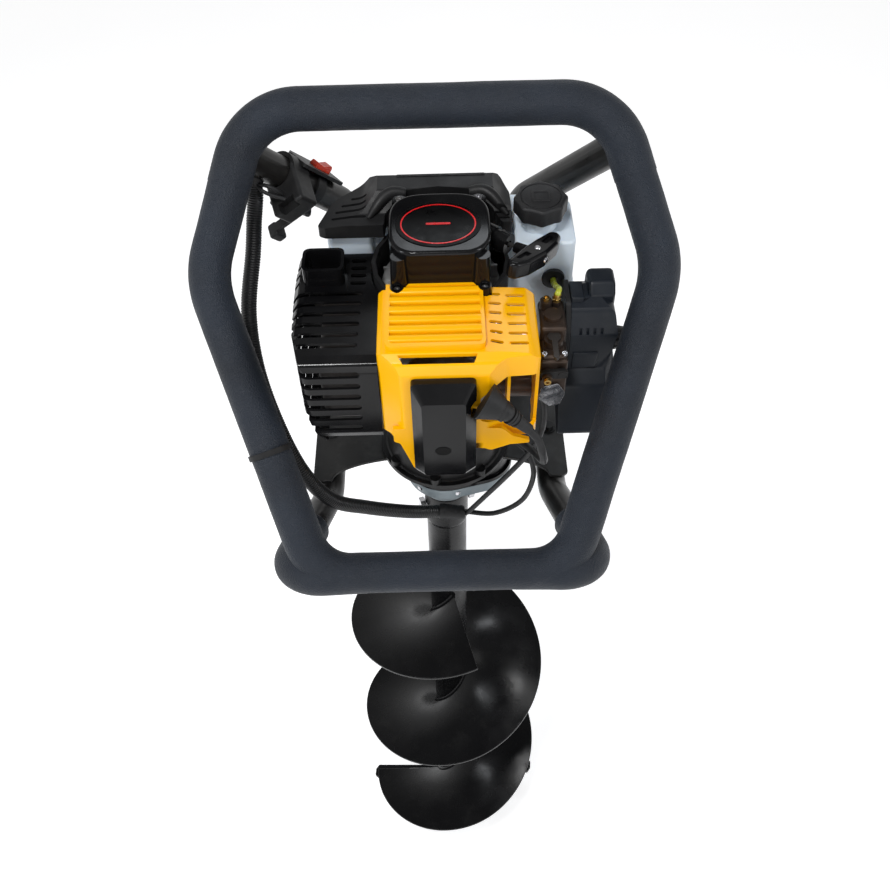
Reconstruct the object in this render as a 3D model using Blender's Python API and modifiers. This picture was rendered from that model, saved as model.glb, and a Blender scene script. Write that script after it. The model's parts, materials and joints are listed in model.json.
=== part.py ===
"""Powered soil auger (one-man earth drill) with a foam-covered tube frame.

Units are metres, +Z up.  The origin is the tip of the pilot point, on the
auger's axis.  The crankshaft, gearbox output and drill bit share that axis.
The cylinder points to -Y, the muffler is at -X, the carburettor and the air
filter at +X, and the fuel tank is behind the engine at +Y.
"""
import math
import bpy
import bmesh
from mathutils import Vector, Matrix

# ---------------------------------------------------------------- dimensions
MM = 0.001
GAP = 0.4              # clearance between neighbouring pieces, mm

# drill bit
BIT_R = 125.0          # radius of the flight
PITCH = 255.0          # rise of the flight in one turn
TURNS = 2.29           # turns of the flight
Z_CUT = 48.0           # cutting edge above the pilot tip
PIPE_R = 22.0          # centre pipe
PIPE_TOP = 824.0
SLEEVE_R = 23.6        # coupling sleeve at the head of the pipe
SHAFT_R = 10.0         # gearbox output shaft

# frame
FRAME_X = -5.0         # the frame sits a little to the left of the shaft
TUBE_R = 14.0
FOAM_SIDE_R = 18.3
FOAM_REAR_R = 19.4
FOAM_BORE_R = 15.9
LOOP_FRONT = (-189.5, 949.0)      # Y and Z of the front bar's centre line
LOOP_REAR = (84.0, 1226.0)        # Y and Z of the rear bar's centre line
LOOP_HALF_FRONT, LOOP_HALF_WIDE, LOOP_HALF_REAR = 108.6, 191.5, 150.0
LOOP_V_WIDE = 253.0               # how far up the slope the widest point is
PLATE_Z0, PLATE_Z1 = 896.0, 900.0

# gear train: two spur stages that return to the input axis
GEAR_A = 33.0
Z1, Z2, M1 = 8, 47, 1.2
Z3, Z4, M2 = 8, 25, 2.0

# engine
Z_CYL = 1058.0         # height of the cylinder's axis
CRANK_THROW = 17.0
BORE_R = 22.0

# ---------------------------------------------------------------- clean start
for _o in list(bpy.data.objects):
    bpy.data.objects.remove(_o, do_unlink=True)
PARTS = bpy.data.collections.new("soil_auger")
CUTS = bpy.data.collections.new("cutters")
for _c in (PARTS, CUTS):
    bpy.context.scene.collection.children.link(_c)

COLOURS = {
    "foam": ((0.020, 0.022, 0.027), 0.9, 0.0),
    "black_paint": ((0.012, 0.012, 0.013), 0.35, 0.0),
    "black_plastic": ((0.015, 0.015, 0.016), 0.45, 0.0),
    "gloss_plastic": ((0.010, 0.010, 0.011), 0.15, 0.0),
    "yellow": ((0.95, 0.52, 0.01), 0.3, 0.0),
    "white_tank": ((0.62, 0.70, 0.76), 0.35, 0.0),
    "grey_cast": ((0.20, 0.26, 0.30), 0.5, 0.1),
    "aluminium": ((0.60, 0.60, 0.60), 0.4, 1.0),
    "steel": ((0.50, 0.50, 0.52), 0.3, 1.0),
    "brass": ((0.70, 0.52, 0.22), 0.35, 1.0),
    "rubber": ((0.015, 0.015, 0.015), 0.7, 0.0),
    "red": ((0.75, 0.06, 0.02), 0.35, 0.0),
    "hose": ((0.55, 0.60, 0.12), 0.35, 0.0),
    "rope": ((0.03, 0.03, 0.03), 0.8, 0.0),
    "filter": ((0.10, 0.10, 0.11), 0.95, 0.0),
}


def mat(name, node):
    m = bpy.data.materials.new(node + "_mat")
    m.use_nodes = True
    col, rough, metal = COLOURS[name]
    b = m.node_tree.nodes["Principled BSDF"]
    b.inputs["Base Color"].default_value = (*col, 1.0)
    b.inputs["Roughness"].default_value = rough
    b.inputs["Metallic"].default_value = metal
    return m


# ---------------------------------------------------------------- helpers
def obj_from_bm(bm, name, coll=CUTS):
    me = bpy.data.meshes.new(name)
    bm.normal_update()
    bm.to_mesh(me)
    bm.free()
    ob = bpy.data.objects.new(name, me)
    coll.objects.link(ob)
    if coll is CUTS:
        ob.hide_render = True
        ob.display_type = 'WIRE'
    return ob


def box(x0, y0, z0, x1, y1, z1, bevel=0.0, seg=1, name="tmp"):
    bm = bmesh.new()
    bmesh.ops.create_cube(bm, size=1.0)
    bmesh.ops.scale(bm, vec=((x1 - x0) * MM, (y1 - y0) * MM, (z1 - z0) * MM), verts=bm.verts)
    bmesh.ops.translate(bm, vec=((x0 + x1) / 2 * MM, (y0 + y1) / 2 * MM, (z0 + z1) / 2 * MM), verts=bm.verts)
    if bevel > 0:
        bmesh.ops.bevel(bm, geom=list(bm.edges), offset=bevel * MM, segments=seg, affect='EDGES', profile=0.5)
    return obj_from_bm(bm, name)


def cyl(p0, p1, r0, r1=None, seg=16, name="tmp"):
    """Cylinder or cone from point p0 to point p1."""
    a, b = Vector(p0) * MM, Vector(p1) * MM
    d = b - a
    bm = bmesh.new()
    bmesh.ops.create_cone(bm, cap_ends=True, cap_tris=False, segments=seg, radius1=r0 * MM,
                          radius2=(r0 if r1 is None else r1) * MM, depth=d.length)
    q = Vector((0, 0, 1)).rotation_difference(d.normalized())
    bmesh.ops.rotate(bm, cent=(0, 0, 0), matrix=q.to_matrix(), verts=bm.verts)
    bmesh.ops.translate(bm, vec=(a + b) / 2, verts=bm.verts)
    return obj_from_bm(bm, name)


def ball(c, r, seg=16, rings=10, scale=(1, 1, 1), name="tmp"):
    bm = bmesh.new()
    bmesh.ops.create_uvsphere(bm, u_segments=seg, v_segments=rings, radius=r * MM)
    bmesh.ops.scale(bm, vec=scale, verts=bm.verts)
    bmesh.ops.translate(bm, vec=Vector(c) * MM, verts=bm.verts)
    return obj_from_bm(bm, name)


def outline(pts, z0, z1, bevel=0.0, seg=1, axis='Z', at=0.0, name="tmp"):
    """A flat outline, extruded.  For axis Y the outline is in X and Z."""
    cu = bpy.data.curves.new(name, 'CURVE')
    cu.dimensions = '2D'
    cu.fill_mode = 'BOTH'
    cu.extrude = (z1 - z0) / 2 * MM
    cu.resolution_u = 1
    cu.render_resolution_u = 0
    sp = cu.splines.new('POLY')
    sp.points.add(len(pts) - 1)
    for p, q in zip(sp.points, pts):
        p.co = (q[0] * MM, q[1] * MM, 0, 1)
    sp.use_cyclic_u = True
    ob = bpy.data.objects.new(name, cu)
    CUTS.objects.link(ob)
    mid = (z0 + z1) / 2 * MM
    if axis == 'Z':
        ob.matrix_world = Matrix.Translation((0, 0, mid))
    elif axis == 'Y':      # outline x, z ; thickness along Y
        ob.matrix_world = Matrix.Translation((0, mid, 0)) @ Matrix.Rotation(math.pi / 2, 4, 'X')
    else:                  # outline y, z ; thickness along X
        ob.matrix_world = Matrix.Translation((mid, 0, 0)) @ Matrix(((0, 0, 1, 0), (1, 0, 0, 0), (0, 1, 0, 0), (0, 0, 0, 1)))
    me = to_mesh(ob, name)
    if bevel > 0:
        bm = bmesh.new()
        bm.from_mesh(me.data)
        es = [e for e in bm.edges if len(e.link_faces) == 2 and e.calc_face_angle(0) > 0.6]
        bmesh.ops.bevel(bm, geom=es, offset=bevel * MM, segments=seg, affect='EDGES', profile=0.5)
        bmesh.ops.recalc_face_normals(bm, faces=bm.faces)
        bm.to_mesh(me.data)
        bm.free()
    return me


def to_mesh(ob, name):
    """A curve made a welded mesh object, and the curve removed."""
    bpy.context.view_layer.update()
    dg = bpy.context.evaluated_depsgraph_get()
    me = bpy.data.meshes.new_from_object(ob.evaluated_get(dg))
    mw = ob.matrix_world.copy()
    bpy.data.objects.remove(ob, do_unlink=True)
    bm = bmesh.new()
    bm.from_mesh(me)
    bmesh.ops.remove_doubles(bm, verts=bm.verts, dist=1e-6)
    bmesh.ops.transform(bm, matrix=mw, verts=bm.verts)
    bmesh.ops.recalc_face_normals(bm, faces=bm.faces)
    bm.to_mesh(me)
    bm.free()
    out = bpy.data.objects.new(name, me)
    CUTS.objects.link(out)
    out.hide_render = True
    out.display_type = 'WIRE'
    return out


def rounded(points, radii, seg=5, closed=False):
    """Straight runs joined by arcs.  radii: one number or one for each point."""
    P = [Vector(p) for p in points]
    n = len(P)
    if not isinstance(radii, (list, tuple)):
        radii = [radii] * n
    out = []
    for i in range(n):
        if not closed and i in (0, n - 1):
            out.append(P[i])
            continue
        a = (P[i - 1] - P[i]).normalized()
        b = (P[(i + 1) % n] - P[i]).normalized()
        ang = math.pi - a.angle(b)
        if ang < 1e-3:
            out.append(P[i])
            continue
        r = radii[i]
        t = r * math.tan(ang / 2)
        c = P[i] + (a + b).normalized() * (r / math.cos(ang / 2))
        s = P[i] + a * t - c
        axis = a.cross(b).normalized()
        for k in range(seg + 1):
            rot = Matrix.Rotation(-ang * k / seg, 3, axis)
            out.append(c + rot @ s)
    return out


def smooth(points, per=4):
    """Points on a Catmull-Rom curve through the given points."""
    P = [Vector(p) for p in points]
    P = [P[0] * 2 - P[1]] + P + [P[-1] * 2 - P[-2]]
    out = []
    for i in range(1, len(P) - 2):
        for k in range(per):
            t = k / per
            a, b, c, d = P[i - 1], P[i], P[i + 1], P[i + 2]
            out.append(0.5 * ((2 * b) + (c - a) * t + (2 * a - 5 * b + 4 * c - d) * t * t + (3 * b - a - 3 * c + d) * t ** 3))
    out.append(P[-2])
    return out


def tube(points, r, res=3, closed=False, caps=True, name="tmp"):
    cu = bpy.data.curves.new(name, 'CURVE')
    cu.dimensions = '3D'
    cu.bevel_depth = r * MM
    cu.bevel_resolution = res
    cu.use_fill_caps = caps and not closed
    cu.resolution_u = 1
    cu.render_resolution_u = 0
    cu.twist_mode = 'MINIMUM'
    sp = cu.splines.new('POLY')
    sp.points.add(len(points) - 1)
    for p, q in zip(sp.points, points):
        p.co = (q[0] * MM, q[1] * MM, q[2] * MM, 1)
    sp.use_cyclic_u = closed
    ob = bpy.data.objects.new(name, cu)
    CUTS.objects.link(ob)
    return to_mesh(ob, name)


def lathe(profile, seg=20, centre=(0, 0), name="tmp"):
    """profile: (radius, z) points, closed, outer side listed top to bottom, turned about Z."""
    me = bpy.data.meshes.new(name)
    n = len(profile)
    me.from_pydata([(r * MM, 0, z * MM) for r, z in profile],
                   [(i, (i + 1) % n) for i in range(n) if profile[i][0] > 0 or profile[(i + 1) % n][0] > 0], [])
    ob = bpy.data.objects.new(name, me)
    CUTS.objects.link(ob)
    ob.location = (centre[0] * MM, centre[1] * MM, 0)
    m = ob.modifiers.new("screw", 'SCREW')
    m.steps = m.render_steps = seg
    m.use_merge_vertices = True
    m.merge_threshold = 0.00001
    return bake(ob)


def bake(ob):
    """The evaluated mesh, in world space, as a plain mesh object."""
    bpy.context.view_layer.update()
    dg = bpy.context.evaluated_depsgraph_get()
    me = bpy.data.meshes.new_from_object(ob.evaluated_get(dg))
    mw = ob.matrix_world.copy()
    name = ob.name
    bpy.data.objects.remove(ob, do_unlink=True)
    bm = bmesh.new()
    bm.from_mesh(me)
    bmesh.ops.remove_doubles(bm, verts=bm.verts, dist=1e-6)
    bmesh.ops.transform(bm, matrix=mw, verts=bm.verts)
    bmesh.ops.recalc_face_normals(bm, faces=bm.faces)
    bm.to_mesh(me)
    bm.free()
    out = bpy.data.objects.new(name, me)
    CUTS.objects.link(out)
    out.hide_render = True
    out.display_type = 'WIRE'
    return out


def combine(base, others, op):
    for o in others:
        m = base.modifiers.new("b", 'BOOLEAN')
        m.operation = op
        m.solver = 'EXACT'
        m.object = o
    out = bake(base)
    for o in others:
        bpy.data.objects.remove(o, do_unlink=True)
    return out


def union(base, *others):
    return combine(base, others, 'UNION')


def cut(base, *others):
    return combine(base, others, 'DIFFERENCE')


def turn(ob, angle_deg, axis, about):
    """Turn a mesh about a point, in place."""
    R = Matrix.Translation(Vector(about) * MM) @ Matrix.Rotation(math.radians(angle_deg), 4, axis) @ Matrix.Translation(-Vector(about) * MM)
    ob.data.transform(R)
    return ob


def part(ob, name, material, pivot=None, flat=False):
    """Name a finished solid, put it in the parts collection, set its origin."""
    me = ob.data
    for c in list(ob.users_collection):
        c.objects.unlink(ob)
    PARTS.objects.link(ob)
    ob.hide_render = False
    ob.display_type = 'TEXTURED'
    ob.name = name
    me.name = name
    if pivot is not None:
        p = Vector(pivot) * MM
        me.transform(Matrix.Translation(-p))
        ob.location = p
    me.materials.clear()
    me.materials.append(mat(material, name))
    if not flat:
        me.shade_smooth()
        me.set_sharp_from_angle(angle=math.radians(35))
    return ob


def circle(cx, cy, r, n, a0=0.0, a1=360.0):
    return [(cx + r * math.cos(math.radians(a0 + (a1 - a0) * i / n)), cy + r * math.sin(math.radians(a0 + (a1 - a0) * i / n)))
            for i in range(n if abs(a1 - a0) == 360 else n + 1)]


def stadium(c0, r0, c1, r1, n=10):
    """Outline around two circles, joined by their outer tangents."""
    dx, dy = c1[0] - c0[0], c1[1] - c0[1]
    d = math.hypot(dx, dy)
    base = math.degrees(math.atan2(dy, dx))
    a = math.degrees(math.acos((r0 - r1) / d))
    pts = circle(c1[0], c1[1], r1, n, base - a, base + a)
    pts += circle(c0[0], c0[1], r0, n, base + a, base + 360 - a)
    return pts


def gear(teeth, module, z0, z1, centre, phase_deg, bore=0.0):
    """Straight-sided spur gear; phase is the angle of one tooth's middle."""
    rp = teeth * module / 2
    ra, rf = rp + 0.72 * module, rp - 1.05 * module
    half_tip, half_root = 0.10 * math.pi * module / ra, 0.25 * math.pi * module / rf * 0.80
    pts = []
    for i in range(teeth):
        a = math.radians(phase_deg) + 2 * math.pi * i / teeth
        for r, da in ((rf, -half_root), (ra, -half_tip), (ra, half_tip), (rf, half_root)):
            pts.append((centre[0] + r * math.cos(a + da), centre[1] + r * math.sin(a + da)))
    return outline(pts, z0, z1)


# ================================================================ drill bit
def flight():
    """The helical blade: a radial line swept up the pipe, then thickened."""
    r0, r1 = PIPE_R + 0.5, BIT_R
    n = 60
    me = bpy.data.meshes.new("flight")
    me.from_pydata([(-r0 * MM, 0, 0), (-r1 * MM, 0, 0)], [(0, 1)], [])
    ob = bpy.data.objects.new("flight", me)
    CUTS.objects.link(ob)
    ob.location = (0, 0, Z_CUT * MM)
    m = ob.modifiers.new("screw", 'SCREW')
    m.steps = m.render_steps = n
    m.angle = 2 * math.pi * TURNS
    m.screw_offset = PITCH * TURNS * MM
    m.iterations = 1
    s = ob.modifiers.new("thick", 'SOLIDIFY')
    s.thickness = 4.0 * MM
    s.offset = 0.0
    return bake(ob)


part(flight(), "auger_flight", "black_paint", (0, 0, 0))

pipe = lathe([(SLEEVE_R, PIPE_TOP), (SLEEVE_R, 778), (PIPE_R, 774), (PIPE_R, 64), (PIPE_R - 3.5, 60),
              (6.0, 60), (6.0, 66), (PIPE_R - 4, 70), (PIPE_R - 4, 740), (SHAFT_R + 0.5, 744), (SHAFT_R + 0.5, PIPE_TOP)], 20)
pipe = cut(pipe, cyl((-40, -13, 801), (40, 13, 801), 5.3, seg=10))
part(pipe, "auger_pipe", "black_paint", (0, 0, 0))

# cross bolt with its head and nut, through the coupling sleeve and the shaft
_u = Vector((40, 13, 0)).normalized()
bolt = union(cyl(_u * -30.0 + Vector((0, 0, 801)), _u * 33.0 + Vector((0, 0, 801)), 4.8, seg=10),
             cyl(_u * -30.0 + Vector((0, 0, 801)), _u * -24.3 + Vector((0, 0, 801)), 8.0, seg=6),
             cyl(_u * 24.3 + Vector((0, 0, 801)), _u * 30.5 + Vector((0, 0, 801)), 8.0, seg=6))
part(bolt, "drive_bolt", "steel", (0, 0, 0))


def blade(sign):
    """Cutter plate: a thick bar under the flight's lower edge, with a tooth outside."""
    pts = [(sign * 21.9, sign * -6), (sign * 124, sign * -9), (sign * 129, sign * -2), (sign * 130, sign * 8), (sign * 124, sign * 13), (sign * 21.9, sign * 10)]
    return outline(pts, Z_CUT - 9.5, Z_CUT - 3.5, bevel=0.8)


part(blade(-1), "cutter_blade_left", "black_paint", (0, 0, 0), flat=True)
part(blade(1), "cutter_blade_right", "black_paint", (0, 0, 0), flat=True)

# pilot point: a round shank in the end of the pipe, a holder for the cutters, and a flat, pointed tip
pil = union(lathe([(5.6, 90), (5.6, 59.6), (21.0, 59.6), (21.5, 57), (21.5, 24), (12.0, 18), (9.0, 12), (0.0, 12), (0.0, 90)], 16),
            outline([(-16, 24), (-16, 13), (0, 0), (16, 13), (16, 24)], -3, 3, axis='Y'))
part(pil, "pilot_point", "steel", (0, 0, 0))

# ================================================================ gear train
ox = GEAR_A
out_gear = union(gear(Z4, M2, 855, 866, (0, 0), 360.0 / Z4 / 2),
                 lathe([(SHAFT_R, 872), (SHAFT_R, 752), (0, 752), (0, 872)], 16),
                 lathe([(15, 855.5), (15, 848.2), (0, 848.2), (0, 855.5)], 16))
out_gear = cut(out_gear, cyl((-40, -13, 801), (40, 13, 801), 5.2, seg=10))
part(out_gear, "output_gear", "steel", (0, 0, 0))

lay = union(gear(Z3, M2, 853.5, 869, (ox, 0), 0.0),
            gear(Z2, M1, 877.5, 884.5, (ox, 0), 180.0 + 360.0 / Z2 / 2),
            cyl((ox, 0, 851.2), (ox, 0, 891), 5.0, seg=10))
part(lay, "lay_gear", "steel", (ox, 0, 0))

pin = union(gear(Z1, M1, 876.5, 885.5, (0, 0), 0.0),
            lathe([(3.2, 877), (3.2, 873.5), (0, 873.5), (0, 877)], 12),
            lathe([(6.0, 916), (6.0, 885), (0, 885), (0, 916)], 12),
            lathe([(36.0, 919), (36.0, 915), (0, 915), (0, 919)], 16))
drum = union(pin, lathe([(39.0, 942), (39.0, 915.4), (35.0, 915.4), (36.0, 942)], 16))
part(drum, "clutch_drum", "steel", (0, 0, 0))

bear = lathe([(21.0, 847.5), (21.0, 838.5), (SHAFT_R + GAP, 838.5), (SHAFT_R + GAP, 847.5)], 20)
part(bear, "output_bearing", "steel", (0, 0, 0))
# lower gearbox half: conical cast bowl with the output boss
low = union(lathe([(39.6, 869), (38, 858), (30.5, 842), (26, 834), (26, 828), (0, 828), (0, 869)], 20),
            outline(stadium((0, 0), 40.5, (ox, 0), 32.5, 8), 849.5, 870))
low = cut(low, union(cyl((0, 0, 852), (0, 0, 880), 31.0, seg=20), cyl((ox, 0, 852.6), (ox, 0, 881), 27.5, seg=16)),
          cyl((ox, 0, 850.8), (ox, 0, 879), 5.5, seg=10),
          cyl((0, 0, 838.2), (0, 0, 878), 21.8, seg=20),
          cyl((0, 0, 820), (0, 0, 877), SHAFT_R + 0.7, seg=16))
part(low, "gearbox_lower", "grey_cast")

up = union(outline(stadium((0, 0), 41, (ox, 0), 33), 870.4, 895.6),
           outline(stadium((0, 0), 44, (ox, 0), 36), 870.4, 874.4))
up = cut(up, outline(stadium((0, 0), 32, (ox, 0), 29.6), 860, 888.2),
         cyl((0, 0, 880), (0, 0, 900), 13.4, seg=16),
         cyl((ox, 0, 880), (ox, 0, 891.6), 5.4, seg=12))
part(up, "gearbox_upper", "black_paint")

# ================================================================ frame
_s = Vector((0, LOOP_REAR[0] - LOOP_FRONT[0], LOOP_REAR[1] - LOOP_FRONT[1])).normalized()
_len = math.hypot(LOOP_REAR[0] - LOOP_FRONT[0], LOOP_REAR[1] - LOOP_FRONT[1])


def on_loop(u, v):
    return Vector((FRAME_X + u, LOOP_FRONT[0], LOOP_FRONT[1])) + _s * v


loop_pts = rounded([on_loop(-LOOP_HALF_FRONT, 0), on_loop(-LOOP_HALF_WIDE, LOOP_V_WIDE), on_loop(-LOOP_HALF_REAR, _len),
                    on_loop(LOOP_HALF_REAR, _len), on_loop(LOOP_HALF_WIDE, LOOP_V_WIDE), on_loop(LOOP_HALF_FRONT, 0)],
                   [42, 75, 56, 56, 75, 42], seg=4, closed=True)


def leg_pts(s):
    x = FRAME_X
    return rounded([(x + s * 111, 24, 880.5), (x + s * 111, -52, 880.5), (x + s * 137, -190, 945), (x + s * 60, LOOP_FRONT[0], LOOP_FRONT[1])],
                   [0, 45, 30, 0], seg=4)


def stay_pts(s):
    x = FRAME_X
    return rounded([on_loop(s * 160, _len - 33), (x + s * 81, 122, 1101), (x + s * 76, 118, PLATE_Z1 + 1.2)], [0, 40, 0], seg=4)


def steel_frame(extra=0.0, res=2, with_stays=True):
    ob = tube(loop_pts, TUBE_R + extra, res=res, closed=True)
    more = [tube(leg_pts(s), TUBE_R + extra - 0.02, res=res) for s in (-1, 1)]
    if with_stays:
        more += [tube(stay_pts(s), TUBE_R + extra, res=res) for s in (-1, 1)]
    return union(ob, *more)


part(steel_frame(), "frame_tube", "black_paint")

# split of the foam: the rear sleeve covers the rear bar and the upper sides
n_loop = len(loop_pts)


V_SEAM = 300.0
V_SEAM2 = V_SEAM - 4.0


def seam(sign, v):
    """Point of the loop's upper side run at slope distance v."""
    t = (v - LOOP_V_WIDE) / (_len - LOOP_V_WIDE)
    return on_loop(sign * (LOOP_HALF_WIDE + (LOOP_HALF_REAR - LOOP_HALF_WIDE) * t), v)


rear_run = [seam(-1, V_SEAM)] + [p for p in loop_pts if (p - on_loop(0, 0)).dot(_s) > V_SEAM + 8] + [seam(1, V_SEAM)]
rear = tube(rear_run, FOAM_REAR_R, res=2)
bore_run = [seam(-1, V_SEAM - 20)] + rear_run[1:-1] + [seam(1, V_SEAM - 20)]
rear = cut(rear, tube(bore_run, FOAM_BORE_R, res=2), tube([on_loop(-160, _len - 33), on_loop(-160, _len - 33) + (Vector((FRAME_X - 81, 122, 1101)) - on_loop(-160, _len - 33)) * 0.6], TUBE_R + 1.8, res=3),
           tube([on_loop(160, _len - 33), on_loop(160, _len - 33) + (Vector((FRAME_X + 81, 122, 1101)) - on_loop(160, _len - 33)) * 0.6], TUBE_R + 1.8, res=3))
part(rear, "foam_grip_rear", "foam")

left_run = sorted([p for p in loop_pts if p.x < FRAME_X and (p - on_loop(0, 0)).dot(_s) < V_SEAM - 8], key=lambda p: -(p - on_loop(0, 0)).dot(_s) + p.x * 0.3)
right_run = [Vector((2 * FRAME_X - p.x, p.y, p.z)) for p in left_run][::-1]
front_run = [seam(-1, V_SEAM2)] + left_run + right_run + [seam(1, V_SEAM2)]
front = tube(front_run, FOAM_SIDE_R, res=2)


def leg_foam(s):
    pts = leg_pts(s)
    keep = [p for p in pts if p.y < -110]
    first = next(i for i, p in enumerate(pts) if p.y < -110)
    a, b = pts[first - 1], pts[first]
    t = (-112 - a.y) / (b.y - a.y)
    return [a + (b - a) * t] + keep


front = union(front, tube(leg_foam(-1), FOAM_SIDE_R - 0.05, res=2), tube(leg_foam(1), FOAM_SIDE_R - 0.05, res=2))
ext = [seam(-1, V_SEAM2 + 20)] + left_run + right_run + [seam(1, V_SEAM2 + 20)]
front = cut(front, union(tube(ext, FOAM_BORE_R, res=2), tube(leg_pts(-1), FOAM_BORE_R - 0.04, res=2), tube(leg_pts(1), FOAM_BORE_R - 0.04, res=2)))
part(front, "foam_grip_front", "foam")

# mount plate with an arched front edge and two front corners
arch = [(FRAME_X + x, y) for x, y in
        [(126, -46), (120, -51), (108, -50)]]
arch += [(FRAME_X + 108 * math.cos(a) ** 0.9 if math.cos(a) > 0 else FRAME_X, -50 + 30 * math.sin(a)) for a in [math.radians(d) for d in (15, 30, 45, 60, 75)]]
mir = [(2 * FRAME_X - x, y) for x, y in arch][::-1]
plate = outline([(FRAME_X + 100, 142), (FRAME_X + 126, 60)] + arch + mir + [(FRAME_X - 126, 60), (FRAME_X - 100, 142)], PLATE_Z0, PLATE_Z1)
plate = cut(plate, cyl((0, 0, 890), (0, 0, 905), 26, seg=20))
part(plate, "mount_plate", "black_paint")

# ================================================================ engine core
# clutch housing: bell between the plate and the crankcase
bell = lathe([(46, 968), (58, 955), (58, 905), (64, 905), (64, PLATE_Z1 + GAP), (54, PLATE_Z1 + GAP), (54, 952), (44, 962), (24, 962), (24, 968)], 20)
part(bell, "clutch_housing", "black_paint")

shoe = union(lathe([(33.8, 940), (33.8, 921), (14, 921), (14, 940)], 16), lathe([(15, 939), (15, 922), (6.4, 922), (6.4, 939)], 12))
shoe = cut(shoe, box(-40, -2, 915, -16, 2, 950), box(16, -2, 915, 40, 2, 950))
part(shoe, "clutch_shoes", "steel", (0, 0, 0))

# crankshaft halves and flywheel; full discs with the rod between them
low_crank = lathe([(30, Z_CYL - 7), (30, Z_CYL - 19), (8, Z_CYL - 19), (8, 946), (5.8, 944), (5.8, 920.6), (0, 920.6), (0, Z_CYL - 7)], 16)
part(low_crank, "crankshaft_lower", "steel", (0, 0, 0))
up_crank = lathe([(6, 1134), (8, 1128), (8, Z_CYL + 19), (30, Z_CYL + 19), (30, Z_CYL + 7), (0, Z_CYL + 7), (0, 1134)], 16)
part(up_crank, "crankshaft_upper", "steel", (0, 0, 0))

rod = union(cyl((0, -CRANK_THROW, Z_CYL - 6), (0, -CRANK_THROW, Z_CYL + 6), 10, seg=16),
            box(-4, -76, Z_CYL - 4, 4, -20, Z_CYL + 4),
            cyl((0, -77, Z_CYL - 6), (0, -77, Z_CYL + 6), 8, seg=12),
            cyl((0, -77, Z_CYL - 18), (0, -77, Z_CYL + 18), 5, seg=12))
part(rod, "connecting_rod", "steel")

pist = cyl((0, -62, Z_CYL), (0, -93, Z_CYL), BORE_R - 0.6, seg=20)
pist = cut(pist, cyl((0, -60, Z_CYL), (0, -89, Z_CYL), BORE_R - 3.2, seg=20), cyl((0, -77, Z_CYL - 30), (0, -77, Z_CYL + 30), 5.5, seg=12))
part(pist, "piston", "aluminium")

# crankcase: round body with a flange for the cylinder, and necks for both ends of the shaft
case = union(cyl((0, 0, Z_CYL - 30), (0, 0, Z_CYL + 30), 42, seg=20),
             cyl((0, 0, 968.4), (0, 0, Z_CYL - 25), 30, 36, seg=16),
             cyl((0, 0, Z_CYL + 25), (0, 0, Z_CYL + 42), 20, seg=20),
             box(-32, -47.6, Z_CYL - 32, 32, 0, Z_CYL + 30))
case = cut(case, cyl((0, 0, Z_CYL - 21), (0, 0, Z_CYL + 21), 33, seg=16),
           cyl((0, 0, 960), (0, 0, 1150), 8.6, seg=16),
           cyl((0, 0, 960), (0, 0, Z_CYL - 36), 20, seg=16),
           box(-12.5, -60, Z_CYL - 19, 12.5, -20, Z_CYL + 19),
           cyl((0, -60, Z_CYL), (0, -20, Z_CYL), BORE_R + 0.5, seg=20))
part(case, "crankcase", "grey_cast")

# finned cylinder
def cylinder():
    n = 4
    pts = [(27, 0)]
    for i in range(n):
        y = 8 + i * 15.0
        pts += [(27, y), (39, y + 0.3), (39, y + 2.6), (27, y + 3.0)]
    pts += [(27, 63.5), (0, 63.5), (0, 52), (BORE_R, 48), (BORE_R, 0)]
    # (radius, distance from the crankcase): turned about Z, then laid along -Y
    ob = lathe([(r, y) for r, y in pts][::-1], 16)
    ob.data.transform(Matrix.Translation((0, -48.0 * MM, Z_CYL * MM)) @ Matrix.Rotation(math.pi / 2, 4, 'X'))
    return ob


cy = cylinder()
cy = union(cy, cyl((-43, -80, Z_CYL), (-23.8, -80, Z_CYL), 13, seg=10), cyl((23.8, -72, Z_CYL), (43.4, -72, Z_CYL), 12, seg=10))
cy = cut(cy, cyl((-50, -80, Z_CYL), (-10, -80, Z_CYL), 8, seg=10), cyl((10, -72, Z_CYL), (50, -72, Z_CYL), 7, seg=10),
         cyl((8, -90, Z_CYL + 4), (8, -120, Z_CYL + 4), 5.4, seg=12))
part(cy, "cylinder", "aluminium")

plug = union(cyl((8, -101, Z_CYL + 4), (8, -116, Z_CYL + 4), 5.0, seg=10), cyl((8, -112, Z_CYL + 4), (8, -118, Z_CYL + 4), 9, seg=6),
             cyl((8, -115, Z_CYL + 4), (8, -128, Z_CYL + 4), 4.6, 3.5, seg=8))
part(plug, "spark_plug", "steel")

# flywheel with fan blades
fly = union(cyl((0, 0, 1106), (0, 0, 1114), 50, seg=20), cyl((0, 0, 1104), (0, 0, 1128), 16, seg=20))
for i in range(8):
    a = 45.0 * i
    fly = union(fly, turn(box(22, -1.2, 1113, 48, 1.2, 1127), a, 'Z', (0, 0, 0)))
fly = cut(fly, cyl((0, 0, 1090), (0, 0, 1140), 8.4, seg=16))
part(fly, "flywheel_fan", "aluminium", (0, 0, 0))

# fan case: shallow tray around the flywheel, carrying the starter
fan = union(cyl((0, 0, 1100.4), (0, 0, 1133.2), 58, seg=20), box(-44, -58, 1100.4, 44, -10, 1133))
fan = cut(fan, cyl((0, 0, 1103), (0, 0, 1140), 54.5, seg=20), cyl((0, 0, 1090), (0, 0, 1110), 20.5, seg=20), box(-36, -70, 1104, 36, -30, 1132))
part(fan, "fan_case", "black_plastic")

# ================================================================ recoil starter
RC = (0.0, -2.0)
st = lathe([(41, 1171), (43, 1167), (43, 1133.6), (38, 1133.6), (38, 1165), (0, 1168), (0, 1174), (38, 1174)], 20, RC)
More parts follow.
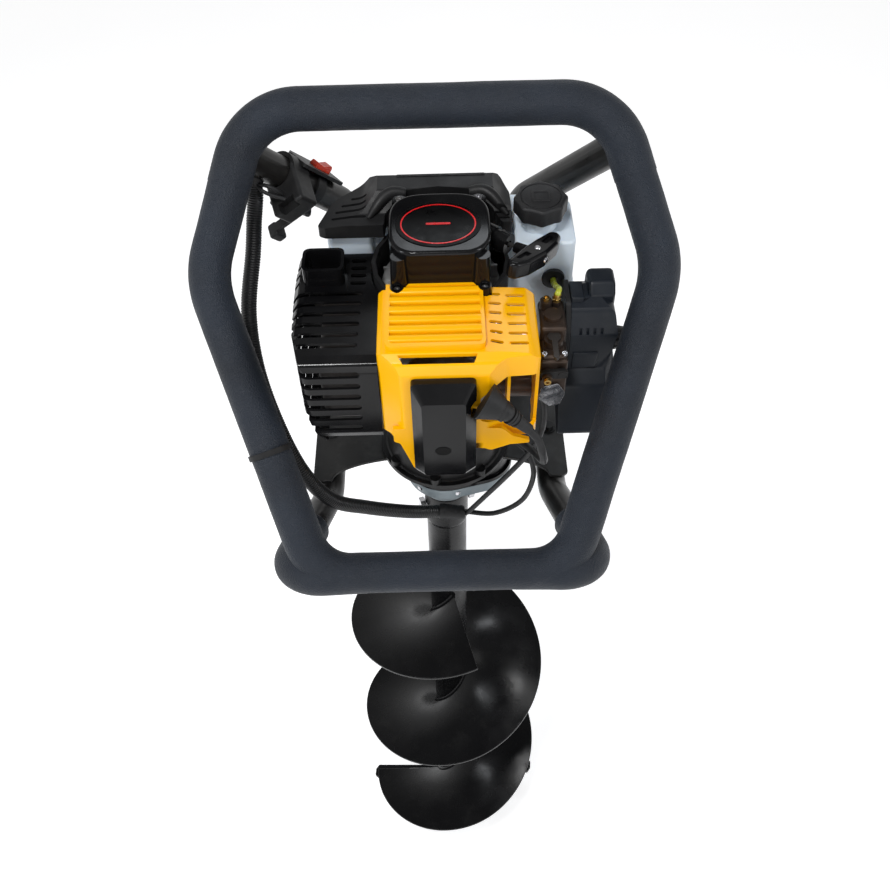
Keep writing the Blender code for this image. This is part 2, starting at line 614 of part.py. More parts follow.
# four screw lugs, and the boss that guides the rope
for a in (-128, -52, 52, 128):
    lx, ly = RC[0] + 46.0 * math.cos(math.radians(a)), RC[1] + 46.0 * math.sin(math.radians(a))
    st = union(st, cyl((lx, ly, 1133.8), (lx, ly, 1163), 6.5, seg=8))
G0, G1 = Vector((34, 12.5, 1152)), Vector((57, -4.75, 1152))       # rope guide
RD = (G1 - G0).normalized()                                         # pull direction
st = union(st, cyl(G0, G1, 9.5, 7.5, seg=12))
st = cut(st, cyl(G0 - RD * 14, G1 + RD * 4, 3.2, seg=10), cyl((RC[0], RC[1], 1130), (RC[0], RC[1], 1164.5), 37.4, seg=20))
part(st, "starter_housing", "gloss_plastic")

pul = lathe([(36, 1156.5), (30, 1154.2), (30, 1149.8), (36, 1147.5), (36, 1145), (9, 1145), (9, 1138), (4.5, 1138), (4.5, 1160), (36, 1160)], 20, RC)
part(pul, "starter_pulley", "black_plastic", (RC[0], RC[1], 1150))

# rope from the pulley's groove to the handle
H0 = G1 + RD * 17.0
rope = tube([G0 - RD * 18.5, G0 - RD * 9.5, G0, G1, H0 + RD * 5.5], 1.7, res=2)
part(rope, "starter_rope", "rope")

# T handle across the rope
side = Vector((RD.y, -RD.x, 0))
hb = outline([(-33, -2), (-30, -6), (-7, -4.6), (7, -4.6), (30, -6), (33, -2), (33, 4), (28, 9), (0, 11), (-28, 9), (-33, 4)], -7, 7, bevel=1.4)
hb = cut(hb, cyl((0, -10, 0), (0, 8, 0), 2.6, seg=12))
# local x runs across the pull, local y along it
hb.data.transform(Matrix((
    (side.x, RD.x, 0, (H0.x + RD.x * 1.5) * MM), (side.y, RD.y, 0, (H0.y + RD.y * 1.5) * MM), (0, 0, 1, H0.z * MM), (0, 0, 0, 1))))
part(hb, "starter_handle", "black_plastic", (H0.x, H0.y, H0.z))

# ================================================================ covers
# yellow cylinder shroud: open at the back and below, with louvres on top
SX0, SX1, SY0, SY1, SZT = -50.0, 79.0, -125.0, -53.0, 1136.0
sh = box(SX0, SY0, 1040, SX1, -47.4, SZT, bevel=5)
tongue = outline([(-46, 1060), (-46, 1046), (-38, 1010), (-28, 1006), (-22, 1030), (-22, 1060)], SY0 + 0.1, SY0 + 4.1, axis='Y')
ton2 = outline([(20, 1060), (20, 1040), (40, 1026), (76, 1040), (76, 1060)], SY0 + 0.1, SY0 + 4.1, axis='Y')
inner = box(SX0 + 2.4, SY0 + 2.4, 1000, SX1 - 2.4, -30, SZT - 2.4, bevel=3, seg=1)
sh = cut(sh, inner)
sh = union(sh, tongue, ton2)
cuts = [box(-40, -106.5 + 11 * i, 1125, 28, -103.5 + 11 * i, 1145) for i in range(6)]
cuts += [box(x0, -100 + 9 * i, 1125, x0 + 15, -97 + 9 * i, 1145) for i in range(6) for x0 in (37, 58)]
cuts += [box(-40, -130, 1116, 28, -115, 1122), cyl((-60, -80, Z_CYL), (-40, -80, Z_CYL), 15, seg=12), cyl((8, -140, Z_CYL + 4), (8, -110, Z_CYL + 4), 12, seg=12),
         cyl((60, -72, Z_CYL), (90, -72, Z_CYL), 15, seg=12), box(30, -130, 1086, 60, -120, 1104)]
sh = cut(sh, *cuts)
part(sh, "cylinder_shroud", "yellow")

# black cover over the spark plug, open at the back and on the lead's side
pb = box(-25, -141, 1020, 25, -125.4, 1130, bevel=4, seg=2)
pb = cut(pb, box(-22.5, -138.5, 1023, 22.5, -120, 1127), box(12, -140.2, 1080, 30, -120, 1106))
part(pb, "plug_cover", "gloss_plastic")

boot = union(cyl((20, -133.4, 1094), (38, -135.5, 1092), 5.2, 8.0, seg=10), ball((42, -136.5, 1091), 9.6, 10, 6),
             cyl((46, -136.7, 1089), (66, -138, 1074), 6.0, 4.0, seg=10))
boot = cut(boot, cyl((12, -133.2, 1094), (24, -133.6, 1094), 3.0, seg=10))
part(boot, "plug_boot", "rubber")

lead = tube(smooth([(67.6, -138.2, 1072.4), (75, -140.0, 1062), (80, -138.5, 1042), (84, -120, 1010), (80, -90, 985), (66, -66, 976), (55, -50, 974)], 2), 3.4, res=1)
part(lead, "ht_lead", "rubber")

# muffler and its slotted guard
mb = box(-112, -96, 1042, -60, 2, 1106, bevel=8, seg=2)
mb = union(mb, cyl((-61, -80, Z_CYL), (-43.4, -80, Z_CYL), 11, seg=10), box(-109, -16, 1100, -85, 0, 1112))
mb = cut(mb, cyl((-70, -80, Z_CYL), (-30, -80, Z_CYL), 7.4, seg=10), box(-106, -13, 1095, -88, -3, 1120))
part(mb, "muffler_body", "steel")

gd = box(-124, -112, 1030, -51.5, 24, 1124, bevel=9)
gd = cut(gd, box(-121.6, -109.6, 1000, -40, 21.6, 1121.6, bevel=7, seg=1), cyl((0, 0, 1090), (0, 0, 1150), 59, seg=20))
spout = box(-115, -19, 1110, -80, 10, 1142, bevel=2.5, seg=1)
spout = cut(spout, box(-112.6, -16.6, 1100, -82.4, 7.6, 1150))
gd = cut(gd, box(-113, -17, 1100, -82, 8, 1123))
gd = union(gd, spout)
gcut = [box(-122, -29 - 11 * i, 1112, -60, -25 - 11 * i, 1130) for i in range(6)]
gcut += [box(-118, -120, 1044 + 9.5 * i, -62, -106, 1048 + 9.5 * i) for i in range(7)]
gcut += [box(-76, -12 + 9 * i, 1112, -62, -8 + 9 * i, 1130) for i in range(3)]
gd = cut(gd, *gcut)
part(gd, "muffler_guard", "gloss_plastic")

# ================================================================ fuel and air
cb = union(box(80, -82, 1050, 103, -46, 1092, bevel=1.5), cyl((44, -72, Z_CYL), (81, -72, Z_CYL), 12, seg=12),
           cyl((92, -64, 1090), (92, -64, 1101), 8, seg=12), cyl((92, -64, 1040), (92, -64, 1051), 12, seg=12),
           cyl((98, -50, 1088), (98, -40.3, 1088), 2.6, seg=8))
cb = cut(cb, cyl((30, -72, Z_CYL), (120, -72, Z_CYL), 7.0, seg=12), cyl((92, -64, 1034), (92, -64, 1048), 9.8, seg=16))
part(cb, "carburettor", "aluminium")

arm = union(cyl((92, -64, 1101.5), (92, -64, 1104), 9, seg=12), box(90, -90, 1101.5, 94, -60, 1104))
part(arm, "throttle_arm", "brass", (92, -64, 1102))
prm = lathe([(9.0, 1043.5), (9.0, 1040), (8, 1035), (5, 1032), (0, 1031), (0, 1043.5)], 12, (92, -64))
part(prm, "primer_bulb", "rubber", (92, -64, 1040))

ab = union(outline([(-47, 1004), (-47, 1090), (-33, 1112), (-4, 1112), (8.6, 1100), (8.6, 1004)], 104.4, 108.4, axis='X'))
ab = cut(ab, cyl((101, -38, 1056), (112, -38, 1056), 5, seg=10), cyl((101, -18, 1056), (112, -18, 1056), 3.4, seg=10))
part(ab, "air_filter_base", "black_plastic")
ac = outline([(-46, 1006), (-46, 1089), (-33, 1110), (-5, 1110), (7.6, 1098), (7.6, 1006)], 108.9, 151, axis='X', bevel=4, seg=2)
ac = cut(ac, outline([(-43, 1009), (-43, 1088), (-32, 1107), (-6, 1107), (4.8, 1097), (4.8, 1009)], 100, 148, axis='X'), cyl((140, -18, 1056), (165, -18, 1056), 3.7, seg=10))
part(ac, "air_filter_cover", "black_plastic")
ae = box(109, -40, 1014, 144, 2, 1086, bevel=3)
ae = cut(ae, cyl((100, -18, 1056), (150, -18, 1056), 6, seg=10))
part(ae, "air_filter_element", "filter")
kn = union(cyl((105, -18, 1056), (156, -18, 1056), 3.0, seg=10), cyl((151.5, -18, 1056), (160, -18, 1056), 11, 9.5, seg=10))
part(kn, "air_filter_knob", "black_plastic", (152, -18, 1056))
ck = union(box(80, -88, 1078, 103, -84.5, 1086, bevel=0.6), cyl((98, -86.6, 1082), (98, -82.4, 1082), 3, seg=10))
part(ck, "choke_lever", "black_plastic", (98, -86, 1082))

# fuel tank: moulded, wrapped round the back of the engine, standing on the plate by a bracket
tk_pts = [(-98, 32), (-98, 76), (-90, 84), (104, 84), (116, 72), (116, 18), (112, 14), (68, 14), (64, 18), (64, 60), (-54, 60), (-58, 56), (-58, 32)]
tk = outline(tk_pts, 1042, 1137, bevel=4)
tk = union(tk, cyl((86, 40, 1130), (86, 40, 1149), 15, seg=16))
tk_in = outline([(-94, 36), (-94, 75), (-88, 80), (102, 80), (112, 70), (112, 20), (110, 18), (71, 18), (68, 22), (68, 64), (-56, 64), (-62, 58), (-62, 36)], 1046, 1133)
tk = cut(tk, tk_in, cyl((86, 40, 1125), (86, 40, 1155), 12, seg=12), cyl((98, 10, 1100), (98, 22, 1100), 6, seg=12))
part(tk, "fuel_tank", "white_tank")
br = outline([(72, 904.6), (92, 904.6), (92, 900.4), (68, 900.4), (68, 1041.6), (88, 1041.6), (88, 1037.6), (72, 1037.6)], -16, 16, axis='X')
part(br, "tank_bracket", "black_paint", flat=True)
tc = outline([(-100, 34), (-94, 27)] + [(-46, 27)] + [(RC[0] + 54 * math.cos(a), RC[1] + 54 * math.sin(a)) for a in [math.radians(d) for d in (146, 120, 90, 60, 42)]] + [(58, 26), (60, 56), (56, 78), (40, 84), (-80, 84), (-98, 72)], 1137.4, 1166, bevel=3, seg=1)
sl = outline([(20, 1175), (20, 1148), (62, 1166.5), (100, 1166.5), (100, 1175)], -110, -47, axis='X')
tc = cut(tc, sl, box(-95, 30, 1130, -52, 80, 1145), box(-60, 57, 1130, 52, 80, 1160))
part(tc, "tank_cover", "black_plastic")
cap_pts = []
for i in range(32):
    a = 2 * math.pi * i / 32
    r = 22.0 + 1.3 * math.cos(8 * a)
    cap_pts.append((86 + r * math.cos(a), 40 + r * math.sin(a)))
cp = outline(cap_pts, 1149.8, 1166)
cp = union(cp, cyl((86, 40, 1138), (86, 40, 1151), 11.4, seg=12), cyl((86, 40, 1165), (86, 40, 1167.5), 16, 14.5, seg=16))
part(cp, "fuel_cap", "black_plastic", (86, 40, 1150))
gr = lathe([(10, 4), (10, 0), (5.6, 0), (5.6, -5), (2.9, -5), (2.9, 4)], 12)
gr.data.transform(Matrix.Translation((98 * MM, 13.5 * MM, 1100 * MM)) @ Matrix.Rotation(math.pi / 2, 4, 'X'))
part(gr, "tank_grommet", "rubber")
hs = tube(smooth([(98, 22, 1100), (98, 15, 1100), (98, 8, 1100), (98, -4, 1097), (99.5, -18, 1088), (99, -29, 1086.5), (98, -39.4, 1088)], 2), 2.5, res=1)
part(hs, "fuel_hose", "hose")

# ================================================================ controls on the left rear stay
S0 = on_loop(-160, _len - 33)
S1 = Vector((FRAME_X - 81, 122, 1101))
SD = (S1 - S0).normalized()
SN = (Vector((0, 0, 1)) - SD * SD.z).normalized()
SB = SD.cross(SN)


def oriented(ob, centre, ex, ey, ez):
    M = Matrix(((ex.x, ey.x, ez.x, centre.x * MM), (ex.y, ey.y, ez.y, centre.y * MM), (ex.z, ey.z, ez.z, centre.z * MM), (0, 0, 0, 1)))
    ob.data.transform(M)
    bm = bmesh.new()
    bm.from_mesh(ob.data)
    bmesh.ops.recalc_face_normals(bm, faces=bm.faces)
    bm.to_mesh(ob.data)
    bm.free()
    return ob


stay_cut = cyl(S0 - SD * 10, S1 + SD * 10, TUBE_R + 0.45, seg=16)
SC = S0 + SD * 58                                # centre of the clamp along the stay
CF = (Vector((0, -1, 0)) - SD * -SD.y)
CF = (CF - SD * CF.dot(SD)).normalized()         # towards the front, square to the stay
CU = SD.cross(CF).normalized()
cl = oriented(box(-11, 0, -17, 11, 38, 17, bevel=1.5), SC, SD, CF, CU)
cl = cut(cl, stay_cut)
part(cl, "throttle_clamp", "black_plastic")
tl = union(cyl((0, 0, 0), (3.6, 0, 0), 7, seg=12), box(0, -4.5, 0, 3.6, 4.5, 44, bevel=0.8), box(0, -7, 36, 14, 7, 44, bevel=1.5))
tl = oriented(tl, SC + CF * 29 + SD * 11.4, SD, CF, CU)
part(tl, "throttle_lever", "black_plastic", tuple(SC + CF * 29 + SD * 11.4))

PC = S0 + SD * 88
sp = oriented(box(-22, -14, 15.2, 22, 14, 18.6, bevel=0.6), PC, SD, SB, SN)
ring = oriented(cut(cyl((-5, 0, 0), (5, 0, 0), 17, seg=16), cyl((-8, 0, 0), (8, 0, 0), 14.6, seg=16)), PC, SD, SB, SN)
sp = union(sp, ring)
sp = cut(sp, oriented(box(-9.5, -5.5, 10, 9.5, 5.5, 25), PC, SD, SB, SN))
part(sp, "switch_plate", "black_paint", flat=True)
rk = outline([(-9, 0.2), (-9, 5), (-7.5, 8.0), (0, 6.8), (7.5, 10.5), (9, 8), (9, 0.2)], -5, 5, axis='Y')
rk = oriented(rk, PC + SN * 15.3, SD, SB, SN)
part(rk, "stop_switch", "red", tuple(PC + SN * 18.6))

# wiring conduit from the clamp, down behind the left side of the loop, to the joint below the engine
cpts = smooth([(-153, 64, 1146), (-158, 52, 1136), (-163, 33, 1119), (-168, -6, 1086), (-163, -40, 1050), (-148, -72, 1010), (-130, -90, 965), (-108, -90, 922), (-78, -72, 884), (-40, -52, 848), (-9.6, -42, 833)], 2)
part(tube(cpts, 7.0, res=2), "wiring_conduit", "black_plastic")
jt = cyl((-7, -41.6, 832.6), (19, -42, 831), 8.2, 7.0, seg=10)
jt = cut(jt, cyl((-9, -41.6, 832.7), (-4.5, -41.6, 832.6), 7.4, seg=10))
part(jt, "taped_joint", "rubber")
part(tube(smooth([(22.2, -44.5, 834.5), (38, -50, 866), (62, -60, 918), (80, -68, 962), (87, -76, 1000), (87, -80, 1030), (84, -80, 1049.4)], 2), 2.6, res=1), "throttle_cable", "rubber")
part(tube(smooth([(21.2, -40.4, 829.0), (50, -48, 836), (76, -56, 868), (85, -60, 912), (79, -60, 946), (70, -58, 958), (62, -44, 960), (60.6, -30, 950)], 2), 2.6, res=1), "stop_cable", "rubber")

# cable tie round the foam on the left side
td = (on_loop(-LOOP_HALF_WIDE, LOOP_V_WIDE) - on_loop(-LOOP_HALF_FRONT, 0)).normalized()
tcn = on_loop(-LOOP_HALF_FRONT, 0) + td * 112
tn = Vector((0, -_s.z, _s.y))
tie = cut(cyl((-2.5, 0, 0), (2.5, 0, 0), 20.3, seg=20), cyl((-5, 0, 0), (5, 0, 0), 19.1, seg=20))
tie = union(tie, box(-3, -4, 19.8, 3, 4, 24))
tie = oriented(tie, tcn, td, td.cross(tn).normalized(), -(td.cross(td.cross(tn).normalized())).normalized() * -1)
part(tie, "cable_tie", "black_plastic")

# ---------------------------------------------------------------- tidy
for _m in list(bpy.data.meshes):
    if _m.users == 0:
        bpy.data.meshes.remove(_m)
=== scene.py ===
import json
import math
import bpy
import bmesh
from mathutils import Vector, Matrix, noise

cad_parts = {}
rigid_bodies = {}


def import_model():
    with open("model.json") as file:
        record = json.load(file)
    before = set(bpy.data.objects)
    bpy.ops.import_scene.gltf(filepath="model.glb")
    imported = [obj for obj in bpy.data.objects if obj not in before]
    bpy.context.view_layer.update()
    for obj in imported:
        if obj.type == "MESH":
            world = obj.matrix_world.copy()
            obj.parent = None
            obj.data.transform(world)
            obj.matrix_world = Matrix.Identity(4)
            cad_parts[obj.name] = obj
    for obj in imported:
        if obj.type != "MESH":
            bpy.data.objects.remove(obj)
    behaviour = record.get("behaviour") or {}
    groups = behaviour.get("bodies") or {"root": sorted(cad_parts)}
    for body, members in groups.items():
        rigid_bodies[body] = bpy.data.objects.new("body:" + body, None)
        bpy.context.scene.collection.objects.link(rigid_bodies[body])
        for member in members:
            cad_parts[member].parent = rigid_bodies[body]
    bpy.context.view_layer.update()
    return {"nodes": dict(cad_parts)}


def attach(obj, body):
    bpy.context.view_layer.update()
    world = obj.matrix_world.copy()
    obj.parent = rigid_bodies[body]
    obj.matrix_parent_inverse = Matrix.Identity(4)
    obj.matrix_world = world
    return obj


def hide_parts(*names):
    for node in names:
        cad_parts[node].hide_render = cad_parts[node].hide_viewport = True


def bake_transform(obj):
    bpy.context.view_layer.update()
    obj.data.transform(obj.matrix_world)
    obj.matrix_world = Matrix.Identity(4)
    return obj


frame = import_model()
NODES = frame["nodes"]
MM = 0.001

# ------------------------------------------------------------------ helpers (sizes in mm)
TMP = bpy.data.collections.new("work")
bpy.context.scene.collection.children.link(TMP)


def new(me, name="w"):
    ob = bpy.data.objects.new(name, me)
    TMP.objects.link(ob)
    return ob


def from_bm(bm, name="w"):
    me = bpy.data.meshes.new(name)
    bm.normal_update()
    bm.to_mesh(me)
    bm.free()
    return new(me, name)


def box(x0, y0, z0, x1, y1, z1, bevel=0.0, seg=3):
    bm = bmesh.new()
    bmesh.ops.create_cube(bm, size=1.0)
    bmesh.ops.scale(bm, vec=((x1 - x0) * MM, (y1 - y0) * MM, (z1 - z0) * MM), verts=bm.verts)
    bmesh.ops.translate(bm, vec=((x0 + x1) / 2 * MM, (y0 + y1) / 2 * MM, (z0 + z1) / 2 * MM), verts=bm.verts)
    if bevel > 0:
        bmesh.ops.bevel(bm, geom=list(bm.edges), offset=bevel * MM, segments=seg, affect='EDGES', profile=0.5)
    return from_bm(bm)


def cyl(p0, p1, r0, r1=None, seg=48):
    a, b = Vector(p0) * MM, Vector(p1) * MM
    d = b - a
    bm = bmesh.new()
    bmesh.ops.create_cone(bm, cap_ends=True, cap_tris=False, segments=seg, radius1=r0 * MM,
                          radius2=(r0 if r1 is None else r1) * MM, depth=d.length)
    q = Vector((0, 0, 1)).rotation_difference(d.normalized())
    bmesh.ops.rotate(bm, cent=(0, 0, 0), matrix=q.to_matrix(), verts=bm.verts)
    bmesh.ops.translate(bm, vec=(a + b) / 2, verts=bm.verts)
    return from_bm(bm)


def ball(c, r, seg=32, rings=20, scale=(1, 1, 1)):
    bm = bmesh.new()
    bmesh.ops.create_uvsphere(bm, u_segments=seg, v_segments=rings, radius=r * MM)
    bmesh.ops.scale(bm, vec=scale, verts=bm.verts)
    bmesh.ops.translate(bm, vec=Vector(c) * MM, verts=bm.verts)
    return from_bm(bm)


def round2d(pts, r, seg=5):
    """A closed 2D outline with its corners rounded; r is one radius or one for each point."""
    n = len(pts)
    rs = r if isinstance(r, (list, tuple)) else [r] * n
    out = []
    for i in range(n):
        p = Vector(pts[i])
        a = Vector(pts[i - 1]) - p
        b = Vector(pts[(i + 1) % n]) - p
        la, lb = a.length, b.length
        a.normalize()
        b.normalize()
        ang = math.acos(max(-1, min(1, a.dot(b))))
        if rs[i] <= 0 or ang > math.pi - 0.03:
            out.append((p.x, p.y))
            continue
        t = min(rs[i] / math.tan(ang / 2), la * 0.48, lb * 0.48)
        p0, p1 = p + a * t, p + b * t
        for k in range(seg + 1):
            s = k / seg
            q = p0 * (1 - s) ** 2 + p * 2 * s * (1 - s) + p1 * s ** 2
            out.append((q.x, q.y))
    return out


def outline(pts, z0, z1, axis='Z', bevel=0.0, seg=3):
    """A flat outline extruded. Axis Y: outline in X, Z. Axis X: outline in Y, Z."""
    bm = bmesh.new()
    f = {'Z': lambda u, v, w: (u, v, w), 'Y': lambda u, v, w: (u, w, v), 'X': lambda u, v, w: (w, u, v)}[axis]
    lo = [bm.verts.new(Vector(f(p[0], p[1], z0)) * MM) for p in pts]
    hi = [bm.verts.new(Vector(f(p[0], p[1], z1)) * MM) for p in pts]
    n = len(pts)
    bm.faces.new(lo)
    bm.faces.new(hi)
    for i in range(n):
        bm.faces.new((lo[i], lo[(i + 1) % n], hi[(i + 1) % n], hi[i]))
    bmesh.ops.recalc_face_normals(bm, faces=bm.faces)
    if bevel > 0:
        es = [e for e in bm.edges if len(e.link_faces) == 2 and any(len(g.verts) == n for g in e.link_faces)]
        bmesh.ops.bevel(bm, geom=es, offset=bevel * MM, segments=seg, affect='EDGES', profile=0.5, clamp_overlap=True)
        bmesh.ops.recalc_face_normals(bm, faces=bm.faces)
    return from_bm(bm)


def lathe(profile, seg=64, centre=(0, 0), wave=None):
    """Closed (radius, z) profile turned about Z. wave(angle) scales the radius."""
    bm = bmesh.new()
    n = len(profile)
    rings = []
    for k in range(seg):
        a = 2 * math.pi * k / seg
        s = wave(a) if wave else 1.0
        rings.append([bm.verts.new(((centre[0] + r * s * math.cos(a)) * MM, (centre[1] + r * s * math.sin(a)) * MM, z * MM)) for r, z in profile])
    for k in range(seg):
        A, B = rings[k], rings[(k + 1) % seg]
        for i in range(n):
            j = (i + 1) % n
            if profile[i][0] == 0 and profile[j][0] == 0:
                continue
            bm.faces.new((A[i], A[j], B[j], B[i]))
    bmesh.ops.remove_doubles(bm, verts=bm.verts, dist=1e-7)
    bmesh.ops.dissolve_degenerate(bm, dist=1e-8, edges=bm.edges)
    bmesh.ops.recalc_face_normals(bm, faces=bm.faces)
    return from_bm(bm)


def arc_path(points, radii, seg=14, closed=False):
    P = [Vector(p) for p in points]
    n = len(P)
    if not isinstance(radii, (list, tuple)):
        radii = [radii] * n
    out = []
    for i in range(n):
        if not closed and i in (0, n - 1):
            out.append(P[i])
            continue
        a = (P[i - 1] - P[i]).normalized()
        b = (P[(i + 1) % n] - P[i]).normalized()
        ang = math.pi - a.angle(b)
        if ang < 1e-3:
            out.append(P[i])
            continue
        r = radii[i]
        t = r * math.tan(ang / 2)
        c = P[i] + (a + b).normalized() * (r / math.cos(ang / 2))
        s = P[i] + a * t - c
        ax = a.cross(b).normalized()
        for k in range(seg + 1):
            out.append(c + Matrix.Rotation(-ang * k / seg, 3, ax) @ s)
    return out


def smooth(points, per=8):
    P = [Vector(p) for p in points]
    P = [P[0] * 2 - P[1]] + P + [P[-1] * 2 - P[-2]]
    out = []
    for i in range(1, len(P) - 2):
        for k in range(per):
            t = k / per
            a, b, c, d = P[i - 1], P[i], P[i + 1], P[i + 2]
            out.append(0.5 * ((2 * b) + (c - a) * t + (2 * a - 5 * b + 4 * c - d) * t * t + (3 * b - a - 3 * c + d) * t ** 3))
    out.append(P[-2])
    return out


def resample(path, step, closed=False):
    P = list(path) + ([path[0]] if closed else [])
    L = [0.0]
    for a, b in zip(P, P[1:]):
        L.append(L[-1] + (b - a).length)
    n = max(2, int(round(L[-1] / step)))
    out, j = [], 0
    for k in range(n if closed else n + 1):
        s = L[-1] * k / n
        while j < len(P) - 2 and L[j + 1] < s:
            j += 1
        t = (s - L[j]) / max(1e-9, L[j + 1] - L[j])
        out.append(P[j].lerp(P[j + 1], min(1, max(0, t))))
    return out, L[-1]


def sweep(path, radius, seg=24, closed=False, cap=True, flat=None):
    """Tube along a path. radius(s, length, angle) or a number, in mm."""
    P = [Vector(p) for p in path]
    n = len(P)
    T = []
    for i in range(n):
        if closed:
            t = P[(i + 1) % n] - P[i - 1]
        else:
            t = P[min(i + 1, n - 1)] - P[max(i - 1, 0)]
        T.append(t.normalized())
    up = Vector((0, 0, 1)) if abs(T[0].z) < 0.9 else Vector((1, 0, 0))
    N = [(up - T[0] * up.dot(T[0])).normalized()]
    for i in range(1, n):
        N.append((T[i - 1].rotation_difference(T[i]) @ N[-1]).normalized())
    if closed:
        back = T[-1].rotation_difference(T[0]) @ N[-1]
        tw = back.angle(N[0])
        if back.cross(N[0]).dot(T[0]) < 0:
            tw = -tw
        N = [Matrix.Rotation(tw * i / n, 3, T[i]) @ N[i] for i in range(n)]
    L = [0.0]
    for i in range(1, n):
        L.append(L[-1] + (P[i] - P[i - 1]).length)
    tot = L[-1]
    bm = bmesh.new()
    rings = []
    for i in range(n):
        B = T[i].cross(N[i])
        ring = []
        for k in range(seg):
            a = 2 * math.pi * k / seg
            r = radius(L[i], tot, a) if callable(radius) else radius
            v = N[i] * math.cos(a) * r + B * math.sin(a) * r * (flat or 1.0)
            ring.append(bm.verts.new((P[i] + v) * MM))
        rings.append(ring)
    for i in range(n if closed else n - 1):
        A, B = rings[i], rings[(i + 1) % n]
        for k in range(seg):
            bm.faces.new((A[k], A[(k + 1) % seg], B[(k + 1) % seg], B[k]))
    if cap and not closed:
        bm.faces.new(rings[0])
        bm.faces.new(rings[-1])
    bmesh.ops.recalc_face_normals(bm, faces=bm.faces)
    return from_bm(bm)


def evaluated(ob):
    bpy.context.view_layer.update()
    dg = bpy.context.evaluated_depsgraph_get()
    me = bpy.data.meshes.new_from_object(ob.evaluated_get(dg))
    old = ob.data
    ob.modifiers.clear()
    ob.data = me
    if old.users == 0:
        bpy.data.meshes.remove(old)
    return ob


def boolean(base, others, op):
    for o in others:
        m = base.modifiers.new("b", 'BOOLEAN')
        m.operation = op
        m.solver = 'EXACT'
        m.object = o
    evaluated(base)
    for o in others:
        bpy.data.objects.remove(o, do_unlink=True)
    return base


def union(base, *others):
    return boolean(base, others, 'UNION')


def cut(base, *others):
    return boolean(base, others, 'DIFFERENCE')


def place(ob, mat4):
    ob.data.transform(mat4)
    return ob


def turn(ob, deg, axis, about):
    return place(ob, Matrix.Translation(Vector(about) * MM) @ Matrix.Rotation(math.radians(deg), 4, axis) @ Matrix.Translation(-Vector(about) * MM))


def axes(ob, c, ex, ey, ez):
    ob.data.transform(Matrix(((ex.x, ey.x, ez.x, c.x * MM), (ex.y, ey.y, ez.y, c.y * MM), (ex.z, ey.z, ez.z, c.z * MM), (0, 0, 0, 1))))
    bm = bmesh.new()
    bm.from_mesh(ob.data)
    bmesh.ops.recalc_face_normals(bm, faces=bm.faces)
    bm.to_mesh(ob.data)
    bm.free()
    return ob


def slot_cut(x0, x1, y, z0, z1, h):
    """A rounded slot cutter along X, h wide in Y, from z0 to z1."""
    pts = [(x1 - h / 2 + h / 2 * math.cos(a), y + h / 2 * math.sin(a)) for a in [math.radians(d) for d in range(-90, 91, 30)]]
    pts += [(x0 + h / 2 + h / 2 * math.cos(a), y + h / 2 * math.sin(a)) for a in [math.radians(d) for d in range(90, 271, 30)]]
    return outline(pts, z0, z1)


def slot_front(x0, x1, z, y0, y1, h):
    pts = [(x1 - h / 2 + h / 2 * math.cos(a), z + h / 2 * math.sin(a)) for a in [math.radians(d) for d in range(-90, 91, 30)]]
    pts += [(x0 + h / 2 + h / 2 * math.cos(a), z + h / 2 * math.sin(a)) for a in [math.radians(d) for d in range(90, 271, 30)]]
    return outline(pts, y0, y1, axis='Y')


def finish(ob, name, body, mat, replaces=(), bevel=0.5, seg=2, angle=32, weighted=True):
    """Bevelled, smooth-shaded, named, given a material, and riding on its body."""
    if bevel > 0:
        m = ob.modifiers.new("edge", 'BEVEL')
        m.width = bevel * MM
        m.segments = seg
        m.limit_method = 'ANGLE'
        m.angle_limit = math.radians(angle)
        m.use_clamp_overlap = True
        m.miter_outer = 'MITER_ARC'
        evaluated(ob)
    me = ob.data
    me.shade_smooth()
    me.set_sharp_from_angle(angle=math.radians(44))
    ob.name = name
    me.name = name
    me.materials.clear()
    me.materials.append(mat)
    for c in list(ob.users_collection):
        c.objects.unlink(ob)
    bpy.context.scene.collection.objects.link(ob)
    if weighted:
        w = ob.modifiers.new("wn", 'WEIGHTED_NORMAL')
        w.keep_sharp = True
        w.weight = 60
        evaluated(ob)
        ob.data.name = name
    if body:
        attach(ob, body)
    if replaces:
        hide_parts(*replaces)
    return ob


def rough_up(ob, amount, scale, seed=0.0):
    """Small uneven swelling along the normals, amount in mm, scale in mm."""
    me = ob.data
    me.update()
    off = Vector((seed * 13.1, seed * 7.7, seed * 3.3))
    nor = [v.normal.copy() for v in me.vertices]
    for v, n in zip(me.vertices, nor):
        d = noise.fractal(v.co * (1000.0 / scale) + off, 0.7, 2.0, 3)
        v.co += n * d * amount * MM
    return ob


